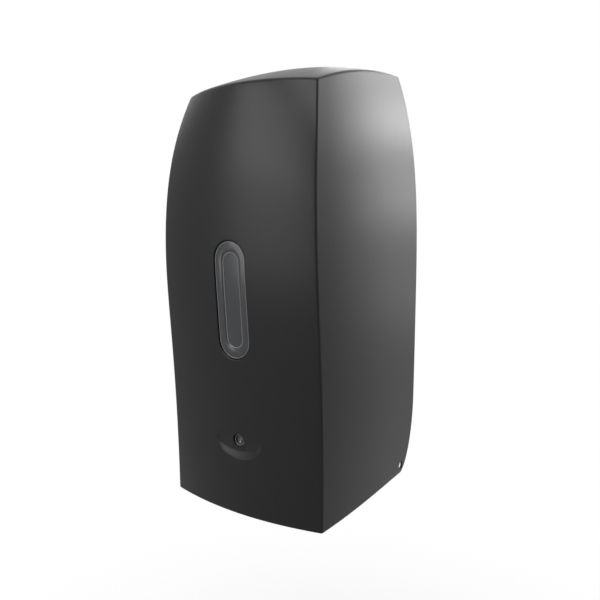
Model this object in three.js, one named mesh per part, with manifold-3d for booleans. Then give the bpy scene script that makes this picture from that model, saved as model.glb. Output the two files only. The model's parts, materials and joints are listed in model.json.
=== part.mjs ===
// Wall-mounted, touch-free soap dispenser: a hinged barrel-shaped cover over a chassis that carries
// a refillable tank, a geared pump, a battery drawer and the sensing electronics.
// Millimetres. X is the viewer's right, +Y goes into the wall, +Z is up. While the pieces are made,
// the wall is the plane y = 0 and the underside is z = 0; the last lines move the origin to the
// middle of the back plate's wall face.
import * as THREE from 'three';
import { mergeVertices } from 'three/addons/utils/BufferGeometryUtils.js';
import Module from 'manifold-3d';

const wasm = await Module();
wasm.setup();

// ---------------------------------------------------------------- driving dimensions

const fit = 0.3; // gap between pieces that rest on or locate each other
const plastic = 2; // usual wall of the inner mouldings

const cover = {
  halfWidth: 57.2, // at the widest height
  widestHeight: 95,
  height: 279.2, // rear top corner
  shoulderDrop: 17.3, // how far each side draws in on its way to the top
  shoulderPower: 3.9, // how late that drawing-in starts
  footTuck: 0.4, // how far each side draws in at the bottom
  draft: 1.2, // extra half width at the wall, so that the moulding leaves its tool
  footDepth: 125, // wall to front corner at the bottom
  bellyDepth: 132.1, // wall to front corner at the belly
  bellyHeight: 164,
  browDepth: 113.6, // wall to front corner, at browDrop under the rear top corner
  browDrop: 17.2,
  browLean: 0.453, // how steeply the front leans back there
  crown: 5.84, // rise of the top's middle over its side edges
  topRadius: 367, // of the top, seen from the side
  topSetback: 12.5, // of that arc's centre, behind the wall
  sag: 5, // how far the middle of the front stands out from its corners
  footSag: 2.5, // more of it at the bottom
  browSag: 8, // and at the top
  wall: 2.5,
  wallGap: 0.8, // between the cover and the wall
  edge: 2, // rounding of the upright front edges
  lip: 8, // width of the turned-in bottom lip
  lipThickness: 2,
  heelDepth: 23, // the rear bottom corner is a quarter ellipse of this depth
  heelHeight: 54, // and this height
  ribDepth: 2.4, // stiffeners beside the window
  ribWidth: 1.8,
  ribGap: 4, // window flange to stiffener
  ribEnd: 12, // past each end of the window
};

const hinge = {
  setback: 20.5, // axis to wall
  height: 5.8,
  pinRadius: 2.4,
  clearance: 0.3,
  recess: 0.7, // pin end under the cover's skin
  earRadius: 4.9,
  earThickness: 4,
};

const windowSlot = {
  bottom: 97.6,
  top: 167.8,
  width: 22.5,
  recess: 0.9, // lens face under the cover's skin
  rimStep: 0.7, // depth of the sunk middle panel
  panelWidth: 11.3,
  panelMargin: 6.6, // from the slot's end to the panel's end
  flange: 2.2,
  thickness: 1.6,
};

const indicator = {
  height: 46.5,
  holeRadius: 4,
  coreRadius: 2.8,
  recess: 1.1,
  guideLength: 12,
  scoopHalfWidth: 18,
  scoopDrop: 12.3, // lower edge of the scoop, under the indicator
  scoopDepth: 1.7,
  scoopWall: 4.8,
};

const chassis = {
  plate: 3,
  coverGap: 1.2, // to the inside of the cover
  heelGap: 0.6, // to the outside of the cover's rounded rear bottom corner
  rim: 10, // how far the perimeter rim stands off the wall
  floorBottom: 3.5,
  floorThickness: 2.5,
  shelfTop: 92.5,
  shelfThickness: 2.5,
  shelfFront: 112,
  gussetDrop: 34,
  ribDepth: 5.5,
};

const mounting = {
  height: 140, // origin, over the underside
  keyholeSpacing: 60,
  keyholeHeight: 232,
  headRadius: 4.6,
  shankRadius: 2.3,
  slot: 8,
  lowerHeight: 86,
};

const tank = {
  halfWidth: 45.5,
  back: 9.5, // wall to its back
  front: 112,
  height: 130, // shelf to shoulder top
  foot: 3.2,
  footRadius: 4,
  footInset: 12, // foot's middle, in from the tank's sides
  wall: 1.8,
  corner: 13,
  shoulder: 9,
  mouthRadius: 25,
  neckHeight: 6,
  neckWall: 2,
  spoutRadius: 7,
  spoutLength: 9,
  spoutBore: 3.6,
};

const lid = {
  thickness: 1.7,
  skirt: 6.5,
  sealThickness: 1,
  gripWidth: 8,
  gripHeight: 2.6,
};

const pump = {
  axisHeight: 45,
  front: 84, // wall to the front of its cover
  coverThickness: 3,
  backWall: 3,
  chamberDepth: 11,
  teeth: 10,
  module: 1.5,
  pressureAngle: 28,
  addendum: 0.85,
  tipClearance: 0.25,
  wall: 3.2,
  shaftRadius: 2.5,
  idlerPinRadius: 2,
  stubRadius: 3.5,
  stubBore: 2,
  stubLength: 6.5,
};

const tube = { wall: 1.7, inletGrip: 5.5, outletGrip: 5 };

const socket = { wall: 1.8, cupDepth: 10, flange: 4.5, flangeThickness: 1.5, nippleLength: 7 };

const nozzle = {
  bodyRadius: 6,
  flangeRadius: 9.5,
  flangeThickness: 1.5,
  tipHeight: 1.2,
  boreRadius: 2,
  nippleTop: 20,
};

const train = {
  module1: 1, // motor pinion and large compound gear
  pinionTeeth: 10,
  compoundTeeth: 33,
  module2: 1.25, // small compound gear and final gear
  compoundPinionTeeth: 12,
  finalTeeth: 33,
  pressureAngle: 25,
  addendum: 0.95,
  backlash: 0.3,
  tipGap: 0.8, // gears to the inside of the gearbox
  wall: 1.8,
  depth: 22, // outside depth of the gearbox
  pumpGap: 0.4, // between gearbox and pump
  compoundAngle: 151, // from the final gear's axis to the compound axle, degrees
  motorAngle: 243, // from the compound axle to the motor's axis, degrees
  axleRadius: 1.5,
  motorShaftRadius: 1,
  finalFace: 6, // tooth widths
  largeFace: 5,
};

const motor = { radius: 12, length: 30.8, bossRadius: 3, bossLength: 1.6, endCap: 3 };

const cell = { radius: 7.1, height: 50.5, gap: 0.8, nubRadius: 2.6, nubHeight: 1.2, count: 4 };

const battery = {
  wall: 1.5,
  sideGap: 0.8, // to the gearbox
  chassisGap: 0.25, // to the webs and the rim beside it
  back: 12, // wall to the housing's back
  bottom: 16,
  railThickness: 2,
  saddle: 4,
  contact: 0.5,
  frontThickness: 1.8,
  handleDepth: 3.5,
  travel: 40,
};

const boards = {
  thickness: 1.6,
  carrierFront: 101.6, // wall to the carrier's front
  carrierHalfWidth: 31.5,
  carrierTop: 80,
  carrierLeg: 11.5,
  standoff: 1.9,
  standoffRadius: 2.5,
  controlHalfWidth: 29,
  controlBottom: 19,
  controlTop: 78,
  ledRadius: 2.5,
  ledLength: 8.6,
};

const sensor = {
  setback: 92, // wall to the middle of the sensor
  windowLength: 22,
  windowDepth: 10,
  windowFlange: 1.6,
  spacing: 14, // emitter to receiver
  lampLength: 6,
  boardHeight: 15.4,
  boardHalfWidth: 18,
  postSpacing: 31,
  postRadius: 1.8,
};

const powerSwitch = { x: -20, height: 70, width: 10, depth: 5, rise: 5.5, travel: 3, knob: 3 };

const lock = {
  setback: 24, // axis to wall
  bodyRadius: 8,
  bodyDrop: 20, // from the cover's skin to the bottom of the lock
  flangeRadius: 11,
  flangeThickness: 2.4,
  barrelRadius: 5.4,
  keyWidth: 1.6,
  keyLength: 7,
  keyDepth: 3,
  camThickness: 3,
  camWidth: 8,
  reach: 18.5, // axis to the outside of the cam's prong
  prongThickness: 2.5,
  prongHeight: 5.5,
  keeperThickness: 2,
};

// ---------------------------------------------------------------- solids and placing

// A closed three.js geometry as a solid that can be cut and joined.
function solidFrom(geometry) {
  const bare = new THREE.BufferGeometry().setAttribute('position', geometry.getAttribute('position'));
  if (geometry.index) bare.setIndex(geometry.index);
  const merged = mergeVertices(bare);
  const triVerts = new Uint32Array(merged.index.array);
  const build = () =>
    new wasm.Manifold(
      new wasm.Mesh({ numProp: 3, vertProperties: merged.attributes.position.array, triVerts }),
    );
  const made = build();
  if (made.volume() >= 0) return made;
  for (let i = 0; i < triVerts.length; i += 3) {
    [triVerts[i + 1], triVerts[i + 2]] = [triVerts[i + 2], triVerts[i + 1]];
  }
  return build();
}

function geometryFrom(solid) {
  const { vertProperties, triVerts, numProp, numVert } = solid.getMesh();
  const positions = new Float32Array(numVert * 3);
  for (let i = 0; i < numVert; i++) {
    positions.set(vertProperties.subarray(i * numProp, i * numProp + 3), i * 3);
  }
  const indexed = new THREE.BufferGeometry()
    .setAttribute('position', new THREE.BufferAttribute(positions, 3))
    .setIndex(new THREE.BufferAttribute(triVerts, 1));
  const geometry = indexed.toNonIndexed();
  geometry.computeVertexNormals();
  return geometry;
}

const join = (first, ...others) => others.reduce((all, one) => all.add(one), first);
const cut = (first, ...tools) => tools.reduce((rest, tool) => rest.subtract(tool), first);

const X = new THREE.Vector3(1, 0, 0);
const Y = new THREE.Vector3(0, 1, 0);
const Z = new THREE.Vector3(0, 0, 1);
// Where a drawing's x, its y and its extrusion go, for a prism along each axis.
const drawnAlong = {
  x: new THREE.Matrix4().makeBasis(Y, Z, X),
  y: new THREE.Matrix4().makeBasis(X, Z, Y.clone().negate()),
  z: new THREE.Matrix4().makeBasis(X, Y, Z),
};

// A drawing extruded between two places on an axis. Along y, the drawing's axes are X and Z;
// along x they are Y and Z; along z they are X and Y.
function prism(axis, shape, from, to, curveSegments = 5) {
  const depth = Math.abs(to - from);
  const geometry = new THREE.ExtrudeGeometry(shape, { depth, bevelEnabled: false, curveSegments });
  geometry.applyMatrix4(drawnAlong[axis]);
  const start = axis === 'y' ? Math.max(from, to) : Math.min(from, to);
  const move = { x: [start, 0, 0], y: [0, start, 0], z: [0, 0, start] }[axis];
  return solidFrom(geometry.translate(...move));
}

function box(x0, x1, y0, y1, z0, z1) {
  const geometry = new THREE.BoxGeometry(x1 - x0, y1 - y0, z1 - z0);
  return solidFrom(geometry.translate((x0 + x1) / 2, (y0 + y1) / 2, (z0 + z1) / 2));
}

// A profile of [radius, height] points turned about an axis through [a, b] in the plane across it.
function turned(axis, profile, [a, b] = [0, 0], segments = 20) {
  const points = profile.map(([radius, height]) => new THREE.Vector2(radius, height));
  const geometry = new THREE.LatheGeometry(points, segments);
  if (axis === 'z') geometry.rotateX(Math.PI / 2).translate(a, b, 0);
  if (axis === 'x') geometry.rotateZ(-Math.PI / 2).translate(0, a, b);
  if (axis === 'y') geometry.translate(a, 0, b);
  return solidFrom(geometry);
}

const rod = (axis, radius, from, to, centre, segments) =>
  turned(axis, [[0, from], [radius, from], [radius, to], [0, to]], centre, segments);

const ring = (axis, inner, outer, from, to, centre, segments) =>
  turned(
    axis,
    [[inner, from], [outer, from], [outer, to], [inner, to], [inner, from]],
    centre,
    segments,
  );

// A slot outline with round ends, upright unless it is wider than it is tall.
function slotShape(width, height, x = 0, y = 0) {
  const r = Math.min(width, height) / 2;
  const dx = width / 2 - r;
  const dy = height / 2 - r;
  const shape = new THREE.Shape();
  if (dy >= dx) {
    shape.absarc(x, y + dy, r, 0, Math.PI);
    shape.absarc(x, y - dy, r, Math.PI, 2 * Math.PI);
  } else {
    shape.absarc(x + dx, y, r, -Math.PI / 2, Math.PI / 2);
    shape.absarc(x - dx, y, r, Math.PI / 2, Math.PI * 1.5);
  }
  shape.closePath();
  return shape;
}

function polygon(points) {
  return new THREE.Shape(points.map(([x, y]) => new THREE.Vector2(x, y)));
}

// A closed skin through rings of points that all have the same count, with a fan over each end.
function loft(rings, startCentre = middleOf(rings[0]), endCentre = middleOf(rings.at(-1))) {
  const count = rings[0].length;
  const points = [...rings.flat(), startCentre, endCentre];
  const index = [];
  const round = (visit) => {
    for (let i = 0; i < count; i++) visit(i, (i + 1) % count);
  };
  for (let r = 0; r + 1 < rings.length; r++) {
    const base = r * count;
    round((a, b) => {
      index.push(base + a, base + b, base + b + count, base + a, base + b + count, base + a + count);
    });
  }
  const last = (rings.length - 1) * count;
  round((a, b) => index.push(points.length - 2, b, a, points.length - 1, last + a, last + b));
  const geometry = new THREE.BufferGeometry().setFromPoints(points);
  geometry.setIndex(index);
  return solidFrom(geometry);
}

const middleOf = (ring) =>
  ring.reduce((sum, p) => sum.add(p), new THREE.Vector3()).divideScalar(ring.length);

const steps = (from, to, count) =>
  Array.from({ length: count + 1 }, (_, i) => from + ((to - from) * i) / count);

// ---------------------------------------------------------------- the dispenser's outer form

function halfWidthAt(z) {
  const rise = Math.max(0, (z - cover.widestHeight) / (cover.height - cover.widestHeight));
  const tuck = Math.max(0, 1 - z / cover.widestHeight);
  const shoulder = cover.shoulderDrop * rise ** cover.shoulderPower;
  return cover.halfWidth - shoulder - cover.footTuck * tuck ** 2;
}

// The front corner's line, seen from the side: upright at the foot and at the belly, then leaning back.
const browHeight = cover.height - cover.browDrop;
const browHandle = (browHeight - cover.bellyHeight) * 0.31;
const cornerLine = [
  new THREE.CubicBezierCurve(
    new THREE.Vector2(cover.footDepth, 0),
    new THREE.Vector2(cover.footDepth, cover.bellyHeight * 0.55),
    new THREE.Vector2(cover.bellyDepth, cover.bellyHeight * 0.76),
    new THREE.Vector2(cover.bellyDepth, cover.bellyHeight),
  ),
  new THREE.CubicBezierCurve(
    new THREE.Vector2(cover.bellyDepth, cover.bellyHeight),
    new THREE.Vector2(cover.bellyDepth, cover.bellyHeight + browHandle * 1.2),
    new THREE.Vector2(cover.browDepth + cover.browLean * browHandle, browHeight - browHandle),
    new THREE.Vector2(cover.browDepth, browHeight),
  ),
].flatMap((curve) => curve.getPoints(60));

function frontDepthAt(z) {
  if (z <= 0) return cover.footDepth;
  if (z >= browHeight) return cover.browDepth - (z - browHeight) * cover.browLean;
  const above = cornerLine.findIndex((p) => p.y > z);
  const [p, q] = [cornerLine[above - 1], cornerLine[above]];
  return p.x + ((q.x - p.x) * (z - p.y)) / (q.y - p.y);
}

function sagAt(z) {
  const foot = cover.footSag * Math.max(0, 1 - z / (cover.bellyHeight * 0.55)) ** 2;
  return cover.sag + foot + cover.browSag * Math.max(0, z / browHeight) ** 5;
}

// Height of the top over a point of its side edge, before the crown is added.
function topEdgeAt(y) {
  const { topRadius: r, topSetback: back } = cover;
  return cover.height + Math.sqrt(r * r - (y - back) ** 2) - Math.sqrt(r * r - back * back);
}

const rearWidening = (y) => cover.draft * Math.max(0, 1 + y / cover.footDepth);

function topHeightAt(x, y) {
  const edge = topEdgeAt(y);
  const across = x / (halfWidthAt(edge) + rearWidening(y));
  return edge + cover.crown * (1 - across * across);
}

const frontFaceAt = (x, z) => -(frontDepthAt(z) + sagAt(z) * (1 - (x / halfWidthAt(z)) ** 2));

// The outline at one height, drawn in by inset: sides, rounded front edges and the sagging front.
function sectionAt(z, inset, rear) {
  const half = halfWidthAt(z) - inset;
  const depth = frontDepthAt(z) - inset;
  const sag = sagAt(z);
  const front = (x) => -(depth + sag * (1 - (x / half) ** 2));
  const soft = Math.max(0.6, cover.edge - inset);
  const right = [new THREE.Vector3(half + rearWidening(rear), rear, z)];
  const corner = { x: half, y: -depth };
  const before = { x: half, y: -depth + soft };
  const after = { x: half - soft, y: front(half - soft) };
  for (const t of [0, 0.5, 1]) {
    const bend = (key) =>
      (1 - t) ** 2 * before[key] + 2 * t * (1 - t) * corner[key] + t * t * after[key];
    right.push(new THREE.Vector3(bend('x'), bend('y'), z));
  }
  for (const share of [0.75, 0.5, 0.25]) {
    right.push(new THREE.Vector3(after.x * share, front(after.x * share), z));
  }
  const left = right.map((p) => new THREE.Vector3(-p.x, p.y, z)).reverse();
  const back = [-0.6, -0.2, 0.2, 0.6].map((share) => new THREE.Vector3(share * right[0].x, rear, z));
  return [...right, new THREE.Vector3(0, front(0), z), ...left, ...back];
}

// The whole form drawn in by inset, between the underside and the domed top: level sections up to
// the belly, then sections that tilt until the last one lies on the top's edge, then the dome.
function bodyForm(inset, { bottom = 0, rear = 0 } = {}) {
  const levels = [bottom, ...steps(cover.bellyHeight * 0.25, cover.bellyHeight * 1.08, 4)];
  const onLine = (i, z) => sectionAt(z, inset, rear)[i];
  const edge = sectionAt(browHeight, inset, rear).map((start, i) => {
    let p = start;
    for (let settle = 0; settle < 20; settle++) p = onLine(i, topHeightAt(p.x, p.y) - inset);
    return p;
  });
  const level = levels.at(-1);
  const tilting = steps(0.2, 1, 4).map((share) =>
    edge.map((p, i) => onLine(i, THREE.MathUtils.lerp(level, p.z, share))),
  );
  const centreY = (rear - frontDepthAt(browHeight)) / 2;
  const onDome = (x, y) => new THREE.Vector3(x, y, topHeightAt(x, y) - inset);
  const dome = [0.75, 0.5, 0.25].map((share) =>
    edge.map((p) => onDome(p.x * share, centreY + (p.y - centreY) * share)),
  );
  return loft(
    [...levels.map((z) => sectionAt(z, inset, rear)), ...tilting, ...dome],
    new THREE.Vector3(0, centreY, bottom),
    onDome(0, centreY),
  );
}

// A level slab, and an upright slab against the wall, wide enough for any piece.
const reach = cover.bellyDepth * 2;
const slabZ = (z0, z1) => box(-reach, reach, -reach, reach, z0, z1);
const slabY = (y0, y1) => box(-reach, reach, y0, y1, -reach, cover.height + reach);
const frontZone = -cover.footDepth * 0.75; // what is cut through the front stops short of here

// ---------------------------------------------------------------- values that several pieces share

const liner = cover.wall + chassis.coverGap; // chassis outline, in from the cover's skin
const floorTop = chassis.floorBottom + chassis.floorThickness;
const frontSkin = frontFaceAt(0, indicator.height);
const pitch = (module, teeth) => (module * teeth) / 2;
const pumpPitch = pitch(pump.module, pump.teeth);
const pumpAxes = { drive: [pumpPitch, pump.axisHeight], idler: [-pumpPitch, pump.axisHeight] };
const pumpOuter = pumpPitch + pump.module + pump.tipClearance + pump.wall;
const pumpLayers = {
  coverFront: -pump.front,
  chamberFront: -pump.front + pump.coverThickness + fit,
};
pumpLayers.chamberBack = pumpLayers.chamberFront + pump.chamberDepth;
pumpLayers.back = pumpLayers.chamberBack + pump.backWall;
const flowSetback = (pumpLayers.chamberFront + pumpLayers.chamberBack) / 2; // tubes, spout and nozzle

const gearbox = { front: pumpLayers.back + train.pumpGap };
gearbox.back = gearbox.front + train.depth;
const polar = ([x, z], distance, degrees) => {
  const a = THREE.MathUtils.degToRad(degrees);
  return [x + distance * Math.cos(a), z + distance * Math.sin(a)];
};
const centreDistance1 = pitch(train.module1, train.pinionTeeth + train.compoundTeeth);
const centreDistance2 = pitch(train.module2, train.compoundPinionTeeth + train.finalTeeth);
const finalAxis = pumpAxes.drive;
const compoundAxis = polar(finalAxis, centreDistance2, train.compoundAngle);
const motorAxis = polar(compoundAxis, centreDistance1, train.motorAngle);
const gearboxRight =
  finalAxis[0] + pitch(train.module2, train.finalTeeth + 2) + train.tipGap + train.wall;

const spoutBottom = chassis.shelfTop + tank.foot - tank.spoutLength;
const tankBottom = chassis.shelfTop + fit + tank.foot;
const tankTop = chassis.shelfTop + tank.height;
const mouthCentre = [0, -(tank.back + tank.front) / 2];

// ---------------------------------------------------------------- cover and what it carries

function makeCover() {
  const rear = -cover.wallGap;
  const skin = bodyForm(0, { rear: 0 }).intersect(slabY(-reach, rear));
  const hollow = bodyForm(cover.wall, { bottom: -2, rear: 6 });
  const lipEdge = -(hinge.setback + hinge.earRadius * 2);
  const lipOpening = join(
    bodyForm(cover.wall + cover.lip, { bottom: -4, rear: 6 }).intersect(slabZ(-3, 5)),
    bodyForm(cover.wall, { bottom: -4, rear: 6 })
      .intersect(slabZ(-3, 5))
      .intersect(slabY(lipEdge, 20)),
  );
  const shell = cut(
    skin,
    hollow.intersect(slabZ(cover.lipThickness, reach * 2)),
    lipOpening,
    outsideHeel(0),
    rod('x', hinge.pinRadius + hinge.clearance, -reach, reach, [-hinge.setback, hinge.height], 16),
  );
  const boss = rod('y', indicator.holeRadius + 2, frontSkin + 1, frontSkin + 9, indicatorAxis, 16);
  return cut(
    join(shell, boss, ...coverRibs()),
    makeScoop(),
    rod('y', indicator.holeRadius, frontSkin - 6, frontSkin + 12, indicatorAxis, 18),
    windowCut(windowSlot.width + 2 * fit, fit),
    rod('z', lock.bodyRadius + fit, lockTopHeight - 8, lockTopHeight + 4, lockAxis, 18),
  );
}

const indicatorAxis = [0, indicator.height];

// Two upright stiffeners inside the front, beside the window.
function coverRibs() {
  const { ribDepth, ribWidth, ribGap, ribEnd, wall } = cover;
  const band = cut(
    bodyForm(wall - 0.4, { bottom: -2, rear: 6 }),
    bodyForm(wall + ribDepth, { bottom: -2, rear: 6 }),
  );
  const x = windowSlot.width / 2 + windowSlot.flange + ribGap;
  const [z0, z1] = [windowSlot.bottom - ribEnd, windowSlot.top + ribEnd];
  return [-x, x].map((middle) =>
    band.intersect(box(middle - ribWidth / 2, middle + ribWidth / 2, -reach, frontZone, z0, z1)),
  );
}

// The shallow scoop round the indicator: its floor tilts in towards the bottom, and its lower wall
// runs out to the skin on an ellipse.
function makeScoop() {
  const floor = indicator.scoopHalfWidth - indicator.scoopWall;
  const tall = indicator.scoopDrop / indicator.scoopHalfWidth;
  const lift = 14;
  const slope = indicator.scoopWall / indicator.scoopDepth;
  const bowl = new THREE.LatheGeometry(
    [
      new THREE.Vector2(0, 0),
      new THREE.Vector2(floor, 0),
      new THREE.Vector2(floor + indicator.scoopWall * 0.45, indicator.scoopDepth * 0.3),
      new THREE.Vector2(indicator.scoopHalfWidth, indicator.scoopDepth),
      new THREE.Vector2(indicator.scoopHalfWidth + slope * lift * 0.4, indicator.scoopDepth + lift * 0.4),
      new THREE.Vector2(0, indicator.scoopDepth + lift * 0.4),
    ],
    24,
  );
  const tilt = Math.atan2(indicator.scoopDepth, indicator.scoopDrop);
  bowl
    .scale(1, 1, tall)
    .rotateX(Math.PI + tilt)
    .translate(0, frontSkin + indicator.scoopDepth * 0.1, indicator.height);
  return solidFrom(bowl);
}

// The upright slot through the front.
function windowCut(width, grow) {
  const height = windowSlot.top - windowSlot.bottom + 2 * grow;
  const middle = (windowSlot.top + windowSlot.bottom) / 2;
  return prism('y', slotShape(width, height, 0, middle), frontZone, -reach, 6);
}

function makeSightWindow() {
  const { width, flange, thickness, recess, panelWidth, panelMargin } = windowSlot;
  const height = windowSlot.top - windowSlot.bottom;
  const middle = (windowSlot.top + windowSlot.bottom) / 2;
  const through = (w, h) => prism('y', slotShape(w, h, 0, middle), frontZone, -reach, 6);
  const layer = (outside, inside) => cut(bodyForm(outside), bodyForm(inside));
  const seat = cover.wall + fit;
  const plug = layer(recess, seat + thickness).intersect(through(width, height));
  const brim = layer(seat, seat + thickness).intersect(through(width + 2 * flange, height + 2 * flange));
  const sunk = bodyForm(0).intersect(through(panelWidth, height - 2 * panelMargin));
  return cut(join(plug, brim), cut(sunk, bodyForm(recess + windowSlot.rimStep)));
}

function makeIndicatorLens() {
  const face = frontSkin + indicator.recess + indicator.scoopDepth * 0.35;
  const r = indicator.holeRadius - fit;
  const core = indicator.coreRadius;
  return turned(
    'y',
    [
      [0, face - 0.5], [core * 0.6, face - 0.35], [core, face], [r, face], [r, face + 1.8],
      [core, face + 1.8], [core, face + indicator.guideLength], [0, face + indicator.guideLength],
    ],
    indicatorAxis,
    18,
  );
}

const lockTopHeight = topHeightAt(0, -lock.setback);
const lockAxis = [0, -lock.setback];
const lockFlangeTop =
  topHeightAt(lock.flangeRadius, -lock.setback - lock.flangeRadius) - cover.wall - fit;
const lockBottom = lockTopHeight - lock.bodyDrop;

const makeLockBody = () =>
  turned(
    'z',
    [
      [lock.barrelRadius + fit, lockBottom], [lock.bodyRadius, lockBottom],
      [lock.bodyRadius, lockFlangeTop - lock.flangeThickness],
      [lock.flangeRadius, lockFlangeTop - lock.flangeThickness],
      [lock.flangeRadius, lockFlangeTop], [lock.bodyRadius, lockFlangeTop],
      [lock.bodyRadius, lockTopHeight - 0.4], [lock.barrelRadius + fit, lockTopHeight - 0.4],
      [lock.barrelRadius + fit, lockBottom],
    ],
    lockAxis,
    18,
  );

function makeLockBarrel() {
  const top = lockTopHeight - 0.6;
  const barrel = rod('z', lock.barrelRadius, lockBottom - 1, top, lockAxis, 18);
  const [w, l] = [lock.keyWidth / 2, lock.keyLength / 2];
  return cut(barrel, box(-w, w, -lock.setback - l, -lock.setback + l, top - lock.keyDepth, top + 1));
}

const camTop = lockBottom - 1 - fit;

function makeLockCam() {
  const bottom = camTop - lock.camThickness;
  const rear = -lock.setback + lock.reach;
  const half = lock.camWidth / 2;
  return join(
    rod('z', lock.barrelRadius + 1, bottom, camTop, lockAxis, 18),
    box(-half, half, -lock.setback, rear, bottom, camTop),
    box(-half, half, rear - lock.prongThickness, rear, bottom, camTop + lock.prongHeight),
  );
}

// ---------------------------------------------------------------- chassis

function makeChassis() {
  const outline = bodyForm(liner, { bottom: chassis.floorBottom });
  const inner = bodyForm(liner + plastic, { bottom: chassis.floorBottom - 2 });
  const plate = outline.intersect(slabY(-chassis.plate, 0));
  const rim = cut(outline, inner).intersect(slabY(-chassis.rim, -chassis.plate / 2));
  const floor = outline.intersect(slabZ(chassis.floorBottom, floorTop)).intersect(slabY(-reach, -1));
  const shelfBand = slabZ(chassis.shelfTop - chassis.shelfThickness, chassis.shelfTop);
  const shelf = outline.intersect(shelfBand).intersect(slabY(-chassis.shelfFront, -1));
  const shelfRim = cut(outline, inner)
    .intersect(slabZ(chassis.shelfTop - 1, chassis.shelfTop + 5))
    .intersect(slabY(-chassis.shelfFront, -chassis.rim));
  return cut(
    join(
      cut(join(plate, rim, floor, ...ears()), outsideHeel(chassis.heelGap)),
      heelPanel().intersect(outline),
      shelf, shelfRim, ...gussets(), ...plateRibs(), keeper(), ...posts(),
    ),
    ...wallHoles(),
    rod('z', nozzle.bodyRadius + fit, 0, floorTop + 3, [0, flowSetback], 24),
    prism(
      'z',
      slotShape(sensor.windowLength + 2 * fit, sensor.windowDepth + 2 * fit, 0, -sensor.setback),
      0,
      floorTop + 3,
    ),
    rod('z', socketOuter + fit, chassis.shelfTop - 9, chassis.shelfTop + 3, [0, flowSetback], 24),
    ...pinHoles(),
    bayRoom(),
  );
}

const pinHoles = () =>
  [-1, 1].map((side) =>
    rod('x', hinge.pinRadius + fit / 2, side * (hingePinInner - fit), side * reach,
      [-hinge.setback, hinge.height], 16),
  );

// The rear bottom corner's quarter ellipse, drawn in by inset, from the wall down to the underside.
// The chassis repeats it a little inside the cover's.
const heelCentre = [-cover.wallGap - cover.heelDepth, cover.heelHeight];
const heelCurve = (inset) =>
  steps(0, Math.PI / 2, 16).map((a) => [
    heelCentre[0] + (cover.heelDepth - inset) * Math.cos(a),
    heelCentre[1] - (cover.heelHeight - inset) * Math.sin(a),
  ]);

// Everything behind and under that curve.
function outsideHeel(inset) {
  const [y, z] = heelCentre;
  return prism('x', polygon([[y, -3], [3, -3], [3, z], ...heelCurve(inset)]), -reach, reach);
}

function heelPanel() {
  const inside = (inset, half) => prism('x', polygon([heelCentre, ...heelCurve(inset)]), -half, half);
  return cut(inside(chassis.heelGap, reach), inside(chassis.heelGap + plastic, reach + 1));
}

const socketOuter = tank.spoutRadius + fit + socket.wall;

// Triangular webs under the shelf, at its two ends.
function gussets() {
  const top = chassis.shelfTop - chassis.shelfThickness / 2;
  const web = polygon([
    [-1, top], [-chassis.shelfFront * 0.75, top], [-1 - chassis.plate, top - chassis.gussetDrop],
    [-1, top - chassis.gussetDrop],
  ]);
  const outer = halfWidthAt(top) - liner;
  return [prism('x', web, outer - plastic, outer), prism('x', web, -outer, -outer + plastic)];
}

const earOuter = halfWidthAt(hinge.height) - liner;

// Two ears that carry the hinge pins.
function ears() {
  const ear = new THREE.Shape();
  const top = hinge.height + hinge.earRadius;
  ear.moveTo(-1, hinge.height - hinge.earRadius);
  ear.lineTo(-1, top);
  ear.lineTo(-hinge.setback, top);
  ear.absarc(-hinge.setback, hinge.height, hinge.earRadius, Math.PI / 2, Math.PI * 1.5);
  ear.closePath();
  return [-1, 1].map((side) =>
    prism('x', ear, side * earOuter, side * (earOuter - hinge.earThickness)),
  );
}

// Upright ribs that stiffen the back plate behind the tank.
function plateRibs() {
  const [z0, z1] = [chassis.shelfTop - 1, tankTop];
  return [-1, 1].map((side) => {
    const x = (side * mounting.keyholeSpacing) / 4;
    return box(x - 1, x + 1, -chassis.plate - chassis.ribDepth, -1, z0, z1);
  });
}

// The tab that hangs in front of the lock cam's prong.
function keeper() {
  const prongFront = -lock.setback + lock.reach - lock.prongThickness;
  const front = prongFront - 0.9 - lock.keeperThickness;
  const half = lock.camWidth / 2;
  const roof = camTop + lock.prongHeight + 1.5;
  return join(
    box(-half, half, front, -1, roof, roof + lock.keeperThickness),
    box(-half, half, front, front + lock.keeperThickness, camTop + 1, roof + lock.keeperThickness),
  );
}

// Posts for the sensor board.
function posts() {
  return [-1, 1].map((side) =>
    rod('z', sensor.postRadius, floorTop - 1, sensor.boardHeight - fit,
      [(side * sensor.postSpacing) / 2, -sensor.setback], 12),
  );
}

// Keyholes over the tank's shoulders and plain screw holes under them.
function wallHoles() {
  const side = mounting.keyholeSpacing / 2;
  const [front, back] = [-chassis.plate - 1, 1];
  const keyhole = (x) =>
    join(
      rod('y', mounting.headRadius, front, back, [x, mounting.keyholeHeight], 20),
      prism(
        'y',
        slotShape(mounting.shankRadius * 2, mounting.slot + mounting.shankRadius * 2, x,
          mounting.keyholeHeight + mounting.slot / 2),
        front,
        back,
      ),
    );
  const plain = (x) => rod('y', mounting.shankRadius, front, back, [x, mounting.lowerHeight], 16);
  return [keyhole(-side), keyhole(side), plain(-side), plain(side)];
}

const hingePinInner = earOuter - hinge.earThickness - 1;
const hingePinOuter = halfWidthAt(hinge.height) + rearWidening(-hinge.setback) - hinge.recess;

const makeHingePin = () => {
  const length = hingePinOuter - hingePinInner;
  const r = hinge.pinRadius;
  return turned(
    'x',
    [[0, 0], [r - 0.4, 0], [r, 0.4], [r, length - 0.3], [r - 0.3, length], [0, length]],
    [0, 0],
    14,
  );
};

// ---------------------------------------------------------------- tank

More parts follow.
